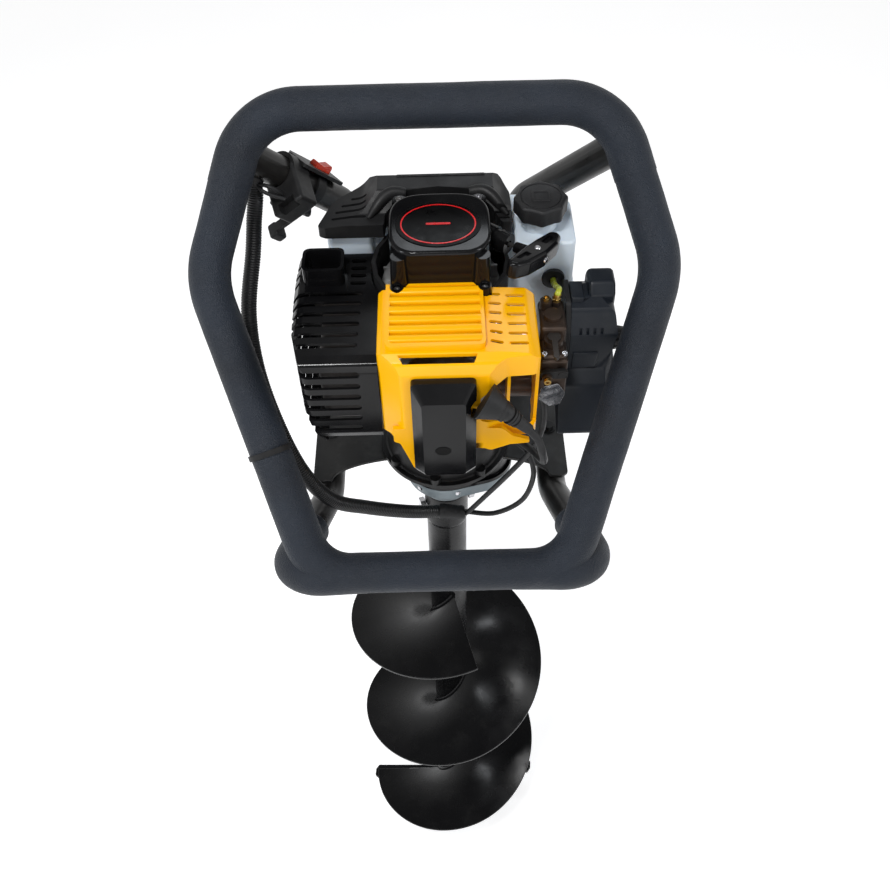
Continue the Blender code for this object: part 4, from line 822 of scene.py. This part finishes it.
# raised frame with six thick ribs between deep slots
sh = union(sh, outline(round2d([(-44.5, -39.8), (-44.5, -111.0), (33.5, -111.0), (33.5, -39.8)], [1, 6, 6, 1], 6), 1134.4, 1142.6, bevel=0))
sh = cut(sh, outline(round2d([(-41.0, -42.5), (-41.0, -107.6), (30.5, -107.6), (30.5, -42.5)], [2, 3, 3, 2], 5), 1130, 1150))
for i in range(6):
    y = -42.0 - 11.0 * i
    rib = outline(round2d([(y - 0.2, 1135.2), (y - 0.2, 1141.4), (y - 3.0, 1143.4), (y - 8.6, 1142.8), (y - 9.3, 1138.0), (y - 8.4, 1135.2)], [1, 3, 4, 3, 2, 1], 6), -41.6, 31.1, axis='X')
    sh = union(sh, rib)
for i in range(6):
    y = -47.5 - 10.9 * i
    a = slot_cut(37.0, 47.5, 0, 1115, 1150, 3.4)
    a.data.transform(Matrix.Translation((42 * MM, (y - 0.2) * MM, 0)) @ Matrix.Rotation(math.radians(-3 - 2.4 * i), 4, 'Z') @ Matrix.Translation((-42 * MM, 0, 0)))
    sh = cut(sh, a, slot_cut(51.5, 67.0, y - 1.8, 1115, 1150, 3.3))
# trapezoid slot in the slope below the frame
tz = outline([(-35.0, -114.0), (27.0, -114.0), (24.0, -120.4), (-31.0, -120.4)], 1118, 1145)
sh = cut(sh, tz, cyl((-60, -80, 1058), (-40, -80, 1058), 14.5), cyl((60, -72, 1058), (90, -72, 1058), 14.5), cyl((8, -140, 1062), (8, -110, 1062), 11.5),
         box(60, -90, 1000, 90, -20, 1046))
# front panel: its lower edge, tongues, and the cut-out below the right shoulder
sh = cut(sh, outline(round2d([(29, 1096), (37, 1105), (50, 1113), (90, 1113), (90, 1052), (64, 1052), (56, 1060), (29, 1070)], [3, 6, 5, 0, 0, 2, 3, 3], 5), -130, -108, axis='Y'))
sh = cut(sh, outline([(-60, 1046.5), (-45, 1046.5), (-40, 1042), (27, 1042), (27, 1000), (-60, 1000)], -130, -100, axis='Y'),
         outline([(27, 1042), (76, 1042), (90, 1046), (90, 1000), (27, 1000)], -130, -108, axis='Y'))
t1 = outline(round2d([(-42, 1062), (-42, 1046), (-37, 1044), (-26.5, 1011), (-19.5, 1008), (-14, 1012), (-14, 1062)], [0, 3, 4, 4, 3, 3, 0], 5), -124.95, -121.4, axis='Y')
t2 = outline(round2d([(20, 1062), (20, 1036), (33, 1035), (38.5, 1032.5), (46, 1036), (54, 1039.5), (70, 1041), (70, 1044.5), (56, 1050), (47, 1060)], [0, 3, 4, 5, 5, 5, 1.5, 1.5, 6, 4], 5), -124.95, -121.4, axis='Y')
sh = union(sh, t1, t2)
# inner walls behind the cut-out, and room for the starter's feet
sh = union(sh, box(50.5, -115.6, 1036, 53.0, -98, 1134.6))
sh = cut(sh, *[cyl((lx, ly, 1130), (lx, ly, 1150), 8.0) for lx, ly in lug_xy[:2]], *[cyl((lx, -44.5, 1130), (lx, -44.5, 1150), 5.7) for lx in (-35.5, 35.5)], box(-41.2, -44.5, 1137.2, -29.8, -30, 1150), box(29.8, -44.5, 1137.2, 41.2, -30, 1150))
finish(sh, "cylinder_cover", "machine", YELLOW, ("cylinder_shroud",), bevel=0.7, seg=3, angle=28)

# ------------------------------------------------------------------ plug cover


def loft_y(a, ya, b, yb):
    """A solid between two outlines of X and Z with the same number of points, at depths ya and yb."""
    bm = bmesh.new()
    lo = [bm.verts.new(Vector((x, ya, z)) * MM) for x, z in a]
    hi = [bm.verts.new(Vector((x, yb, z)) * MM) for x, z in b]
    n = len(a)
    bm.faces.new(lo)
    bm.faces.new(hi)
    for i in range(n):
        bm.faces.new((lo[i], lo[(i + 1) % n], hi[(i + 1) % n], hi[i]))
    bmesh.ops.recalc_face_normals(bm, faces=bm.faces)
    return from_bm(bm)


def rect(x0, x1, z0, z1, r, n=6):
    return round2d([(x0, z0), (x0, z1), (x1, z1), (x1, z0)], r, n)


pc = union(outline(rect(-25.6, 25.6, 1016, 1121, 4.5), -131.5, -125.3, axis='Y'),
           loft_y(rect(-25.6, 25.6, 1016, 1121, 4.5), -131.5, rect(-17.5, 17.0, 1021, 1107.5, 3.0), -141))
pc = cut(pc, box(-22.6, -131, 1020, 22.6, -120, 1117), cyl((21, -130, 1093), (30, -130, 1093), 9))
finish(pc, "plug_hood", "machine", GLOSS, ("plug_cover",), bevel=1.6, seg=4, angle=20)
dim = outline([(-1.5 + 6.6 * math.cos(2 * math.pi * k / 48), 1052 + 5.2 * math.sin(2 * math.pi * k / 48)) for k in range(48)], -141.35, -140.9, axis='Y')
finish(dim, "plug_hood_plug", "machine", LABEL, bevel=0.15)

# ------------------------------------------------------------------ plug boot and its lead
ca, cb_ = Vector((33.0, -131.5, 1100.0)), Vector((46.5, -136.0, 1093.5))
ad = (cb_ - ca).normalized()
bt = union(cyl(ca, cb_, 15.5, 8.2, seg=64), cyl(ca - ad * 2.0, ca + ad * 0.6, 16.2, 15.6, seg=64), cyl(cb_ - ad * 1.0, cb_ + ad * 2.4, 8.9, 8.7, seg=48), ball(cb_ + ad * 2.0, 7.6))
na, nb = Vector((47.5, -136.3, 1092.8)), Vector((68, -138.2, 1072.4))
nd = (nb - na).normalized()
bt = union(bt, cyl(na, nb - nd * 0.5, 6.3, 4.3, seg=48))
for t, r in ((7.0, 7.4), (9.6, 7.0), (14.0, 6.2)):
    bt = union(bt, cyl(na + nd * (t - 1.0), na + nd * (t + 1.0), r, r - 0.3, seg=48))
bt = cut(bt, box(20, -125.2, 1060, 60, -100, 1130))
finish(bt, "spark_boot", "machine", RUBBER, ("plug_boot",), bevel=0.45, seg=3)
lead_pts = smooth([(67.2, -138.15, 1072.8), (75, -140.0, 1062), (80, -138.5, 1042), (84, -120, 1010), (80, -90, 985), (66, -66, 976), (55, -50, 974)], 12)
finish(sweep(lead_pts, 3.4, seg=24), "spark_lead", "machine", RUBBER, ("ht_lead",), bevel=0, weighted=False)

# ------------------------------------------------------------------ muffler guard
g_top = round2d([(-121, 24), (-125, -10), (-122, -70), (-113, -112), (-51.5, -112), (-51.5, 24)], [8, 20, 40, 9, 0, 4], 8)
g_yz = round2d([(24, 1028), (24, 1124), (-101, 1124), (-109, 1121.5), (-112, 1114), (-112, 1044), (-106, 1028)], [0, 3, 4, 5, 5, 6, 3], 6)
g_xz = round2d([(-101, 1028), (-106, 1040), (-125, 1104), (-124, 1114), (-119, 1122), (-113, 1124), (-51.5, 1124), (-51.5, 1028)], [3, 8, 10, 6, 4, 4, 0, 0], 6)
gd = both(both(outline(g_top, 1028, 1124), outline(g_yz, -126, -50, axis='X')), outline(g_xz, -114, 26, axis='Y'))
i_top = round2d([(-118.4, 21.4), (-122.4, -10), (-119.4, -69), (-111, -109.6), (-40, -109.6), (-40, 21.4)], [6, 18, 38, 7, 0, 3], 8)
i_yz = round2d([(21.4, 1000), (21.4, 1121.6), (-99.5, 1121.6), (-107, 1119.2), (-109.6, 1113), (-109.6, 1000)], [0, 2, 4, 4, 4, 0], 6)
i_xz = round2d([(-90, 1000), (-103, 1040), (-122.4, 1104), (-121.4, 1113), (-117, 1120), (-112, 1121.6), (-40, 1121.6), (-40, 1000)], [0, 8, 10, 6, 4, 4, 0, 0], 6)
gd = cut(gd, both(both(outline(i_top, 1000, 1121.5), outline(i_yz, -123, -40, axis='X')), outline(i_xz, -112, 23, axis='Y')), cyl((0, 0, 1090), (0, 0, 1150), 59.0, seg=96), cyl((0, 0, 1120), (0, 0, 1150), 52, seg=96))
# raised flat strip on the right is left out: the union below is switched off
gd = union(gd, box(-66, -98, 1122, -53.0, 20, 1126.2, bevel=1.2)) if False else gd
sp_o = outline(round2d([(-115, -19), (-80, -19), (-80, 10), (-115, 10)], 7, 7), 1110, 1141)
sp_i = outline(round2d([(-112.4, -16.4), (-82.6, -16.4), (-82.6, 7.4), (-112.4, 7.4)], 5, 7), 1100, 1150)
gd = cut(gd, outline(round2d([(-113, -17), (-82, -17), (-82, 8), (-113, 8)], 6, 7), 1104, 1130))
gd = union(gd, cut(sp_o, sp_i))
sl = []
for i in range(6):
    sl.append(slot_cut(-140, -65 - 0.5 * i, -28.5 - 12.2 * i, 1105, 1135, 5.2))
for i in range(4):
    sl.append(slot_cut(-76, -62.5, 12.5 - 9.4 * i, 1105, 1135, 4.6))
for i in range(3):
    sl.append(slot_cut(-140, -118.0, 9 - 10.5 * i, 1105, 1135, 4.2))
for i in range(6):
    sl.append(box(-135, -31.1 - 12.2 * i, 1086, -117, -25.9 - 12.2 * i, 1118))
for i in range(6):
    sl.append(slot_front(-140, -65.5 - 0.4 * i, 1112.5 - 12.4 * i, -125, -88, 6.2))
for i in range(6):
    sl.append(box(-140, -112, 1109.4 - 12.4 * i, -94, -26, 1115.6 - 12.4 * i, bevel=1.5))
for s in sl:
    gd = cut(gd, s)
gd = cut(gd, box(-57.6, -3, 1115, -55.6, 12, 1135))
finish(gd, "silencer_guard", "machine", GLOSS, ("muffler_guard",), bevel=0.7, seg=3, angle=28)

mb = union(box(-101, -96, 1042, -60, 2, 1106, bevel=8, seg=5), cyl((-61, -80, 1058), (-43.4, -80, 1058), 11, seg=40), box(-109, -16, 1098, -85, 0, 1112, bevel=2))
mb = cut(mb, cyl((-70, -80, 1058), (-30, -80, 1058), 7.4, seg=32), box(-106, -13, 1101, -88, -3, 1120))
finish(mb, "silencer_body", "machine", HOTSTEEL, ("muffler_body",), bevel=0.5)

# ------------------------------------------------------------------ tank, cover, cap
tk_pts = round2d([(-98, 32), (-96, 52), (-74, 84), (104, 84), (116, 72), (116, 18), (112, 14), (68, 14), (64, 18), (64, 60), (-54, 60), (-58, 56), (-58, 32)],
                 [6, 14, 16, 10, 12, 6, 5, 5, 4, 3, 3, 3, 5], 6)
tk = outline(tk_pts, 1042, 1137, bevel=5, seg=5)
seam_pts = [(x + (0.9 if x > 60 else -0.9 if x < -80 else 0), y + (0.9 if y > 50 else 0)) for x, y in tk_pts]
tk = union(tk, cyl((86, 40, 1128), (86, 40, 1149), 15, seg=64), box(112, 16, 1090, 116.9, 78, 1092.2, bevel=0.6), box(64, 12.9, 1058, 115, 18, 1059.8, bevel=0.5))
tk = cut(tk, cyl((86, 40, 1125), (86, 40, 1155), 12, seg=48), cyl((98, 10, 1100), (98, 22, 1100), 6, seg=32))
finish(tk, "fuel_tank_body", "machine", TANK, ("fuel_tank",), bevel=0.8, seg=3)

tc_pts = round2d([(-104, 30), (-97, 26.6), (-47, 26.6), (-46, 40), (-30, 54), (0, 58), (30, 54), (46, 42), (53, 27), (62, 27), (61, 62), (54, 82), (40, 84), (-62, 84), (-92, 62)],
                 [4, 3, 2, 6, 10, 10, 10, 6, 3, 3, 10, 6, 6, 22, 22], 8)
tc = outline(tc_pts, 1137.4, 1152, bevel=0)
# top falls away to the left wing and to the back
prof = round2d([(-110, 1130), (-106, 1147), (-66, 1152.5), (-52, 1166), (46, 1166), (55, 1156), (66, 1153), (66, 1130)], [0, 3, 14, 3, 3, 12, 2, 0], 8)
hump = both(outline(tc_pts, 1137.4, 1166), outline(prof, 20, 90, axis='Y'))
yz2 = round2d([(20, 1130), (20, 1149.5), (40, 1152), (55, 1165.5), (76, 1165.5), (86, 1156), (88, 1130)], [0, 0, 4, 4, 5, 4, 0], 6)
hump = both(hump, outline(yz2, -112, 70, axis='X'))
bpy.data.objects.remove(tc, do_unlink=True)
tc = hump
# ridges that sweep round the starter
for s in (-1, 1):
    ear = smooth([(s * 59 - 1, 35, 1151.5), (s * 53 - 1, 42, 1156.5), (s * 46 - 1, 49.5, 1161), (s * 38 - 1, 53.5, 1163.5), (s * 27 - 1, 53, 1163)], 10)
    tc = union(tc, sweep(ear, lambda l, tot, a: 1.3 + 4.2 * math.sin(math.pi * min(1, (l / tot) * 0.70 + 0.06)), seg=24))
tc = union(tc, box(-36, 72.5, 1164.6, 40, 75.2, 1166.6, bevel=0.8))
for i, (x0, y) in enumerate([(-76, 62.0), (-84, 54.0), (-89, 46.0), (-92, 37.5)]):
    tc = cut(tc, slot_cut(x0, -62, y, 1143, 1160, 3.0))
for i, y in enumerate([38.5, 32.0]):
    tc = cut(tc, slot_cut(47, 60, y, 1143, 1170, 2.2))
tc = cut(tc, cyl((86, 40, 1130), (86, 40, 1175), 24.6, seg=64))
finish(tc, "tank_shell_cover", "machine", MATTE, ("tank_cover",), bevel=1.0, seg=3, angle=24)

cap = []
for i in range(160):
    a = 2 * math.pi * i / 160
    r = 21.9 + 0.95 * math.cos(8 * a) + 0.22 * math.cos(16 * a)
    cap.append((86 + r * math.cos(a), 40 + r * math.sin(a)))
cp = outline(cap, 1149.8, 1166, bevel=2.6, seg=4)
cp = cut(cp, cut(cyl((86, 40, 1165.2), (86, 40, 1170), 17.5, seg=80), cyl((86, 40, 1160), (86, 40, 1175), 16.6, seg=80)))
cp = union(cp, cyl((86, 40, 1138), (86, 40, 1151), 11.4, seg=48), outline(round2d([(78, 33), (94, 33), (94, 47), (78, 47)], 2), 1165, 1166.9))
cp = cut(cp, outline(round2d([(80, 35), (92, 35), (92, 45), (80, 45)], 1.5), 1166.0, 1168))
finish(cp, "fuel_filler_cap", "cap", TEXT, ("fuel_cap",), bevel=0.4, seg=2)

gr = lathe([(10, 3.4), (9.2, 4), (4.4, 4.6), (2.9, 4.0), (2.9, -5), (5.6, -5), (5.6, 0), (9.4, 0), (10, 0.6)], 56)
gr.data.transform(Matrix.Translation((98 * MM, 13.5 * MM, 1100 * MM)) @ Matrix.Rotation(math.pi / 2, 4, 'X'))
finish(gr, "hose_grommet", "machine", RUBBER, ("tank_grommet",), bevel=0.3)
hpts = smooth([(98, 22, 1100), (98, 15, 1100), (97.5, 8, 1101), (97, -2, 1106), (97.5, -14, 1113), (98.5, -24, 1119), (97, -30, 1120), (96, -31, 1114.5)], 12)
finish(sweep(hpts, 2.55, seg=24), "fuel_line", "machine", HOSE, ("fuel_hose",), bevel=0, weighted=False)
for i, k in enumerate((-8, -3)):
    a, b = hpts[k - 1], hpts[k]
    d = (b - a).normalized()
    finish(cut(cyl(b - d * 1.2, b + d * 1.2, 3.3, seg=32), cyl(b - d * 3, b + d * 3, 2.5, seg=24)), "line_clip_%d" % i, "machine", BRASS, bevel=0.2)

# ------------------------------------------------------------------ carburettor
cbz = 1058.0
cbo = union(box(80, -82, 1050, 103, -46, 1092, bevel=2.2), cyl((44, -72, cbz), (81, -72, cbz), 12, seg=48),
            box(81.5, -79, 1088, 101.5, -49, 1095, bevel=2.0), cyl((92, -64, 1090), (92, -64, 1101), 8, seg=48), cyl((92, -64, 1040), (92, -64, 1051), 12, seg=48),
            cyl((98, -50, 1088), (98, -40.3, 1088), 2.6, seg=24), box(81, -60, 1086, 103, -24, 1108, bevel=3), cyl((87, -34, 1106), (87, -34, 1116), 5, seg=32), cyl((96, -31, 1106), (96, -31, 1113), 4, seg=32), cyl((92, -46, 1100), (92, -46, 1112), 7.5, seg=40), cyl((85.5, -80, 1080), (85.5, -91, 1080), 4.2, seg=32),
            cyl((86, -56, 1094), (86, -56, 1103), 3.6, seg=32), box(79.6, -86, 1064, 84, -44, 1074, bevel=1.0))
cbo = cut(cbo, cyl((30, -72, cbz), (120, -72, cbz), 7.0, seg=40), cyl((92, -64, 1034), (92, -64, 1048), 9.8, seg=40))
finish(cbo, "carburettor_casting", "machine", CARB, ("carburettor",), bevel=0.7, seg=3)
for i, (x, y) in enumerate([(83.5, -77), (100, -77), (83.5, -51), (99.5, -54)]):
    cap_screw((x, y, 1094.6), (0, 0, 1), 2.3, 2.4, "carb_screw_%d" % i)
cap_screw((85.5, -90.6, 1080), (0, -1, 0), 3.0, 4.0, "idle_screw", mat=BRASS)
cap_screw((87, -34, 1115.6), (0, 0, 1), 2.9, 3.4, "mix_screw", mat=BRASS)
finish(cyl((96, -31, 1112.5), (96, -31, 1116), 3.9, seg=6), "line_union", "machine", BRASS, bevel=0.3)
# bright plate below the choke lever
bp = outline(round2d([(80, 1050), (82, 1064), (96, 1068), (102.5, 1056), (99, 1043), (90, 1040)], 2.5), -84.3, -82.5, axis='Y')
finish(bp, "carb_bright_plate", "machine", BRIGHT, bevel=0.3)
arm = union(cyl((92, -64, 1101.5), (92, -64, 1103.6), 5.5, seg=48), outline(round2d([(89.5, -62), (89.8, -88), (92, -91), (94.2, -88), (94.5, -62)], 1.4), 1101.5, 1103.6))
finish(arm, "butterfly_arm", "throttle_plate_arm", HOTSTEEL, ("throttle_arm",), bevel=0.35)

ck = union(outline(round2d([(80, 1079), (80, 1085), (95, 1086.5), (102.6, 1086), (102.6, 1078), (95, 1077.5)], 2.2), -88, -84.6, axis='Y'), cyl((98, -88.6, 1082), (98, -82.4, 1082), 3.4, seg=32))
finish(ck, "choke_tab", "choke", MATTE, ("choke_lever",), bevel=0.5)

# ------------------------------------------------------------------ air filter
finish(cut(outline(round2d([(-47, 1004), (-47, 1090), (-33, 1112), (-4, 1112), (8.6, 1100), (8.6, 1004)], [6, 8, 8, 6, 6, 6], 5), 104.4, 108.4, axis='X'),
           cyl((101, -38, 1056), (112, -38, 1056), 5), cyl((101, -18, 1056), (112, -18, 1056), 3.4)),
       "filter_backplate", "machine", MATTE, ("air_filter_base",), bevel=0.6)
ac_yz = round2d([(-46, 1010), (-46, 1086), (-36, 1106), (-24, 1111), (-8, 1111), (4, 1103), (7.8, 1094), (7.8, 1010), (2, 1005), (-40, 1005)], [8, 10, 9, 6, 6, 6, 6, 6, 5, 6], 7)
ac_xz = round2d([(108.9, 1000), (108.9, 1112), (132, 1112), (146, 1104), (149, 1086), (146, 1070), (151, 1040), (149, 1008), (140, 1000)], [0, 0, 8, 8, 6, 8, 12, 6, 4], 7)
ac = both(outline(ac_yz, 108.9, 152, axis='X'), outline(ac_xz, -50, 12, axis='Y'))
ac = cut(ac, box(109, -42, 1012, 143, 3, 1088), cyl((140, -18, 1056), (165, -18, 1056), 3.7))
for i in range(4):
    ac = cut(ac, box(116 + 6 * i, -60, 1086, 118.4 + 6 * i, -43.2, 1104))
ac = union(ac, box(112, -47.4, 1048, 134, -44, 1066, bevel=1.4),
           outline(round2d([(-42, 1050), (-58, 1036), (-74, 992), (-70, 986), (-40, 1004)], [4, 10, 5, 4, 4], 6), 101, 143, axis='X', bevel=3),
           outline(round2d([(-26, 1090), (-26, 1112), (-18, 1121), (0, 1121), (6, 1112), (6, 1090)], [0, 6, 6, 6, 6, 0], 6), 124, 147, axis='X', bevel=4),
           box(108.9, -30, 1100, 120, -8, 1114, bevel=1.5))
finish(ac, "filter_cover", "machine", FILTCOV, ("air_filter_cover",), bevel=2.2, seg=4, angle=26)
kn = union(cyl((105, -18, 1056), (156, -18, 1056), 3.0, seg=32), cyl((151.5, -18, 1056), (160, -18, 1056), 11, 9.5, seg=64))
for k in range(10):
    a = math.radians(36 * k)
    kn = cut(kn, cyl((149, -18 + 12.4 * math.cos(a), 1056 + 12.4 * math.sin(a)), (164, -18 + 12.4 * math.cos(a), 1056 + 12.4 * math.sin(a)), 2.6, seg=20))
finish(kn, "filter_knob", "filter_knob", MATTE, ("air_filter_knob",), bevel=0.4)

# ------------------------------------------------------------------ controls on the left stay
S0, S1 = on_loop(-160, LEN - 33), Vector((FX - 81, 122, 1101))
SD = (S1 - S0).normalized()
SN = (Vector((0, 0, 1)) - SD * SD.z).normalized()
SB = SD.cross(SN)
SC = S0 + SD * 58
CF = Vector((0, -1, 0)) + SD * SD.y
CF = (CF - SD * CF.dot(SD)).normalized()
CU = SD.cross(CF).normalized()
cl = union(axes(box(-11, 0, -17, 11, 38, 17, bevel=3.0, seg=4), SC, SD, CF, CU),
           axes(cyl((-9.5, 0, 0), (9.5, 0, 0), 18.2, seg=64), SC, SD, CF, CU))
cl = cut(cl, cyl(S0 - SD * 10, S1 + SD * 10, 14.5, seg=64), axes(box(-13, -19, -1.2, 13, -12, 1.2), SC, SD, CF, CU),
         axes(box(-13, 30, -9, -4, 42, 9), SC, SD, CF, CU))
finish(cl, "lever_clamp", "machine", MATTE, ("throttle_clamp",), bevel=0.7, seg=3)
for i, (a, b) in enumerate(((-5, 10), (5, 10))):
    p = SC + SD * a + CF * 20 + CU * 17
    cap_screw(p - CU * 0.2, CU, 2.8, 2.4, "clamp_screw_%d" % i)
q = SC + CF * 29 + SD * 11.4
tl = union(cyl((0, 0, 0), (3.6, 0, 0), 7, seg=48), outline(round2d([(-4.5, 0), (-4.0, 42), (4.0, 42), (4.5, 0)], 2), 0, 3.6, axis='X'), box(0, -7, 34, 14, 7, 44, bevel=2.6, seg=4))
tl = axes(tl, q, SD, CF, CU)
finish(tl, "thumb_lever", "throttle_trigger", MATTE, ("throttle_lever",), bevel=0.5)
finish(cyl(q + SD * 3.4, q + SD * 5.2, 3.2, 2.2, seg=32), "lever_pin", "machine", BRIGHT, bevel=0.3)

PC = S0 + SD * 88
sp = union(axes(outline(round2d([(-30, -10), (-24, -17), (22, -17), (22, 14), (-30, 14)], 3), 15.2, 18.4), PC, SD, SB, SN),
           axes(box(-24, -18.4, 9, 22, -16.6, 18.4, bevel=0.5), PC, SD, SB, SN),
           axes(cut(cyl((-5, 0, 0), (5, 0, 0), 17, seg=64), cyl((-8, 0, 0), (8, 0, 0), 14.6, seg=64)), PC, SD, SB, SN))
sp = cut(sp, axes(box(-9.5, -5.5, 10, 9.5, 5.5, 25), PC, SD, SB, SN))
finish(sp, "rocker_plate", "machine", MATTE, ("switch_plate",), bevel=0.4)
rk = outline(round2d([(-9, 0.2), (-9, 5), (-7.5, 8.0), (0, 6.8), (7.5, 10.5), (9, 8), (9, 0.2)], [0.5, 1, 1.4, 3, 1.6, 1.4, 0.5], 5), -5, 5, axis='Y', bevel=0.8)
rk = axes(rk, PC + SN * 15.3, SD, SB, SN)
finish(rk, "stop_rocker", "switch_rocker", RED, ("stop_switch",), bevel=0.25)

# ------------------------------------------------------------------ wiring
for nm, pts in (("switch_wire", [PC + SB * 8 - SN * 15 + SD * 6, PC + SD * -2 + CF * 19 - SN * 12, SC + CF * 24 - SD * 20, Vector((-157, 63, 1170))]),
                ("lever_wire", [Vector((-156, 64, 1172)), Vector((-149, 56, 1166)), SC + CF * 30 - SD * 11])):
    finish(sweep(smooth(pts, 12), 1.7, seg=16), nm, "machine", RUBBER, bevel=0, weighted=False)
finish(sweep(smooth([(-157.2, 66.5, 1168), (-156.8, 66.8, 1178)], 4), lambda l, tot, a: 8.0 - 2.2 * (l / tot) ** 2, seg=40), "sleeve_end", "machine", RUBBER, bevel=0.6)
cpts = smooth([(-157, 66, 1172), (-158, 62, 1156), (-161, 52, 1138), (-163, 33, 1119), (-168, -6, 1086), (-163, -40, 1050), (-148, -72, 1010), (-130, -90, 965), (-108, -90, 922), (-78, -72, 884), (-40, -52, 848), (-9.6, -42, 833)], 30)
path, _ = resample(cpts, 0.575)
finish(sweep(path, lambda l, tot, a: 6.75 + 0.30 * math.tanh(1.8 * math.sin(2 * math.pi * l / 2.3)), seg=28), "corrugated_sleeve", "machine", SLEEVE, ("wiring_conduit",), bevel=0, weighted=False)
jp, _ = resample(smooth([(-8, -41.6, 832.8), (-2, -41.6, 832.5), (6, -42.0, 831.6), (14, -42.2, 831.0), (19, -42, 831)], 10), 0.8)
jt = sweep(jp, lambda l, tot, a: (8.2 - 1.4 * (l / tot) - 1.0 * (1 - math.sqrt(max(0, 1 - (1 - min(1, min(l, tot - l) / 2.0)) ** 2)))) + 0.35 * (((l + 6 * a / (2 * math.pi)) % 6.0) / 6.0), seg=40)
finish(jt, "tape_wrap", "machine", RUBBER, ("taped_joint",), bevel=0, weighted=False)
tcab = smooth([(17, -43, 832), (22.2, -44.5, 834.5), (38, -50, 866), (62, -60, 918), (80, -68, 962), (87, -76, 1000), (87, -80, 1030), (84, -80, 1049.4)], 14)
finish(sweep(tcab, 2.6, seg=20), "throttle_sheath", "machine", RUBBER, ("throttle_cable",), bevel=0, weighted=False)
scab = smooth([(17, -41.5, 830), (21.2, -40.4, 829.0), (50, -48, 836), (76, -56, 868), (85, -60, 912), (79, -60, 946), (70, -58, 958), (62, -44, 960), (60.6, -30, 950)], 14)
finish(sweep(scab, 2.6, seg=20), "stop_wire", "machine", RUBBER, ("stop_cable",), bevel=0, weighted=False)

# ------------------------------------------------------------------ tidy the work objects
for o in list(bpy.data.objects):
    if TMP in o.users_collection or o.name.startswith("w."):
        bpy.data.objects.remove(o, do_unlink=True)
bpy.data.collections.remove(TMP)

# ------------------------------------------------------------------ studio
fm = bpy.data.materials.new("studio_floor")
fm.use_nodes = True
nt = fm.node_tree
pb_ = nt.nodes["Principled BSDF"]
tcn_ = nt.nodes.new("ShaderNodeTexCoord")
nz = nt.nodes.new("ShaderNodeTexNoise")
nz.inputs["Scale"].default_value = 3.0
nt.links.new(tcn_.outputs["Object"], nz.inputs["Vector"])
mx = nt.nodes.new("ShaderNodeMix")
mx.data_type = 'RGBA'
mx.inputs["A"].default_value = (0.86, 0.86, 0.87, 1)
mx.inputs["B"].default_value = (0.90, 0.90, 0.90, 1)
nt.links.new(nz.outputs["Fac"], mx.inputs["Factor"])
nt.links.new(mx.outputs["Result"], pb_.inputs["Base Color"])
pb_.inputs["Roughness"].default_value = 0.9
pb_.inputs["Specular IOR Level"].default_value = 0.1
pb_.inputs["Emission Color"].default_value = (1, 1, 1, 1)
pb_.inputs["Emission Strength"].default_value = 0.60
bm = bmesh.new()
bmesh.ops.create_circle(bm, cap_ends=True, segments=96, radius=40.0)
me = bpy.data.meshes.new("studio_floor")
bm.to_mesh(me)
bm.free()
floor = bpy.data.objects.new("studio_floor", me)
floor.location = (0, 0, -0.0005)
me.materials.append(fm)
bpy.context.scene.collection.objects.link(floor)

w = bpy.data.worlds.new("studio") if not bpy.context.scene.world else bpy.context.scene.world
bpy.context.scene.world = w
w.use_nodes = True
wn = w.node_tree
bg = next(n for n in wn.nodes if n.type == 'BACKGROUND')
bg.inputs["Color"].default_value = (1.0, 1.0, 1.0, 1)
wtc = wn.nodes.new("ShaderNodeTexCoord")
wsp = wn.nodes.new("ShaderNodeSeparateXYZ")
wn.links.new(wtc.outputs["Generated"], wsp.inputs["Vector"])
wmr = wn.nodes.new("ShaderNodeMapRange")
wmr.inputs["From Min"].default_value = 0.12
wmr.inputs["From Max"].default_value = 0.50
wmr.inputs["To Min"].default_value = 0.90
wmr.inputs["To Max"].default_value = 0.26
wn.links.new(wsp.outputs["Z"], wmr.inputs["Value"])
wn.links.new(wmr.outputs["Result"], bg.inputs["Strength"])


def area(name, loc, target, size, power, size_y=None, col=(1, 1, 1)):
    li = bpy.data.lights.new(name, 'AREA')
    li.energy = power
    li.color = col
    li.shape = 'RECTANGLE'
    li.size = size
    li.size_y = size_y or size
    o = bpy.data.objects.new(name, li)
    o.location = loc
    o.rotation_euler = (Vector(target) - Vector(loc)).to_track_quat('-Z', 'Y').to_euler()
    bpy.context.scene.collection.objects.link(o)
    return o


area("key", (-0.35, -0.75, 2.75), (0, 0, 1.05), 0.34, 20, 0.26)
area("left", (-1.7, -0.9, 1.9), (0, 0, 1.0), 0.28, 12, 0.8, (0.93, 0.96, 1.0))
area("right", (1.6, -0.7, 2.0), (0, 0, 1.05), 0.30, 9, 1.0, (0.93, 0.96, 1.0))
area("front", (0.1, -1.9, 1.25), (0, 0, 0.9), 0.9, 2.5, 0.5)
area("back", (0.3, 1.5, 2.5), (0, 0, 1.15), 0.9, 5, 0.4, (0.9, 0.95, 1.0))

bpy.context.scene.view_settings.view_transform = 'Standard'
bpy.context.scene.view_settings.look = 'None'

cd = bpy.data.cameras.new("camera")
cd.sensor_width = 36
cd.lens = 40.45
cam = bpy.data.objects.new("camera", cd)
E = math.radians(50.2)
fwd = Vector((0, math.cos(E), -math.sin(E)))
rt = Vector((1, 0, 0))
upv = rt.cross(fwd).normalized()
roll = math.radians(-1.45)
rt2 = rt * math.cos(roll) + upv * math.sin(roll)
up2 = -rt * math.sin(roll) + upv * math.cos(roll)
cam.matrix_world = Matrix(((rt2.x, up2.x, -fwd.x, 0), (rt2.y, up2.y, -fwd.y, -0.657), (rt2.z, up2.z, -fwd.z, 1.679), (0, 0, 0, 1)))
bpy.context.scene.collection.objects.link(cam)
bpy.context.scene.camera = cam
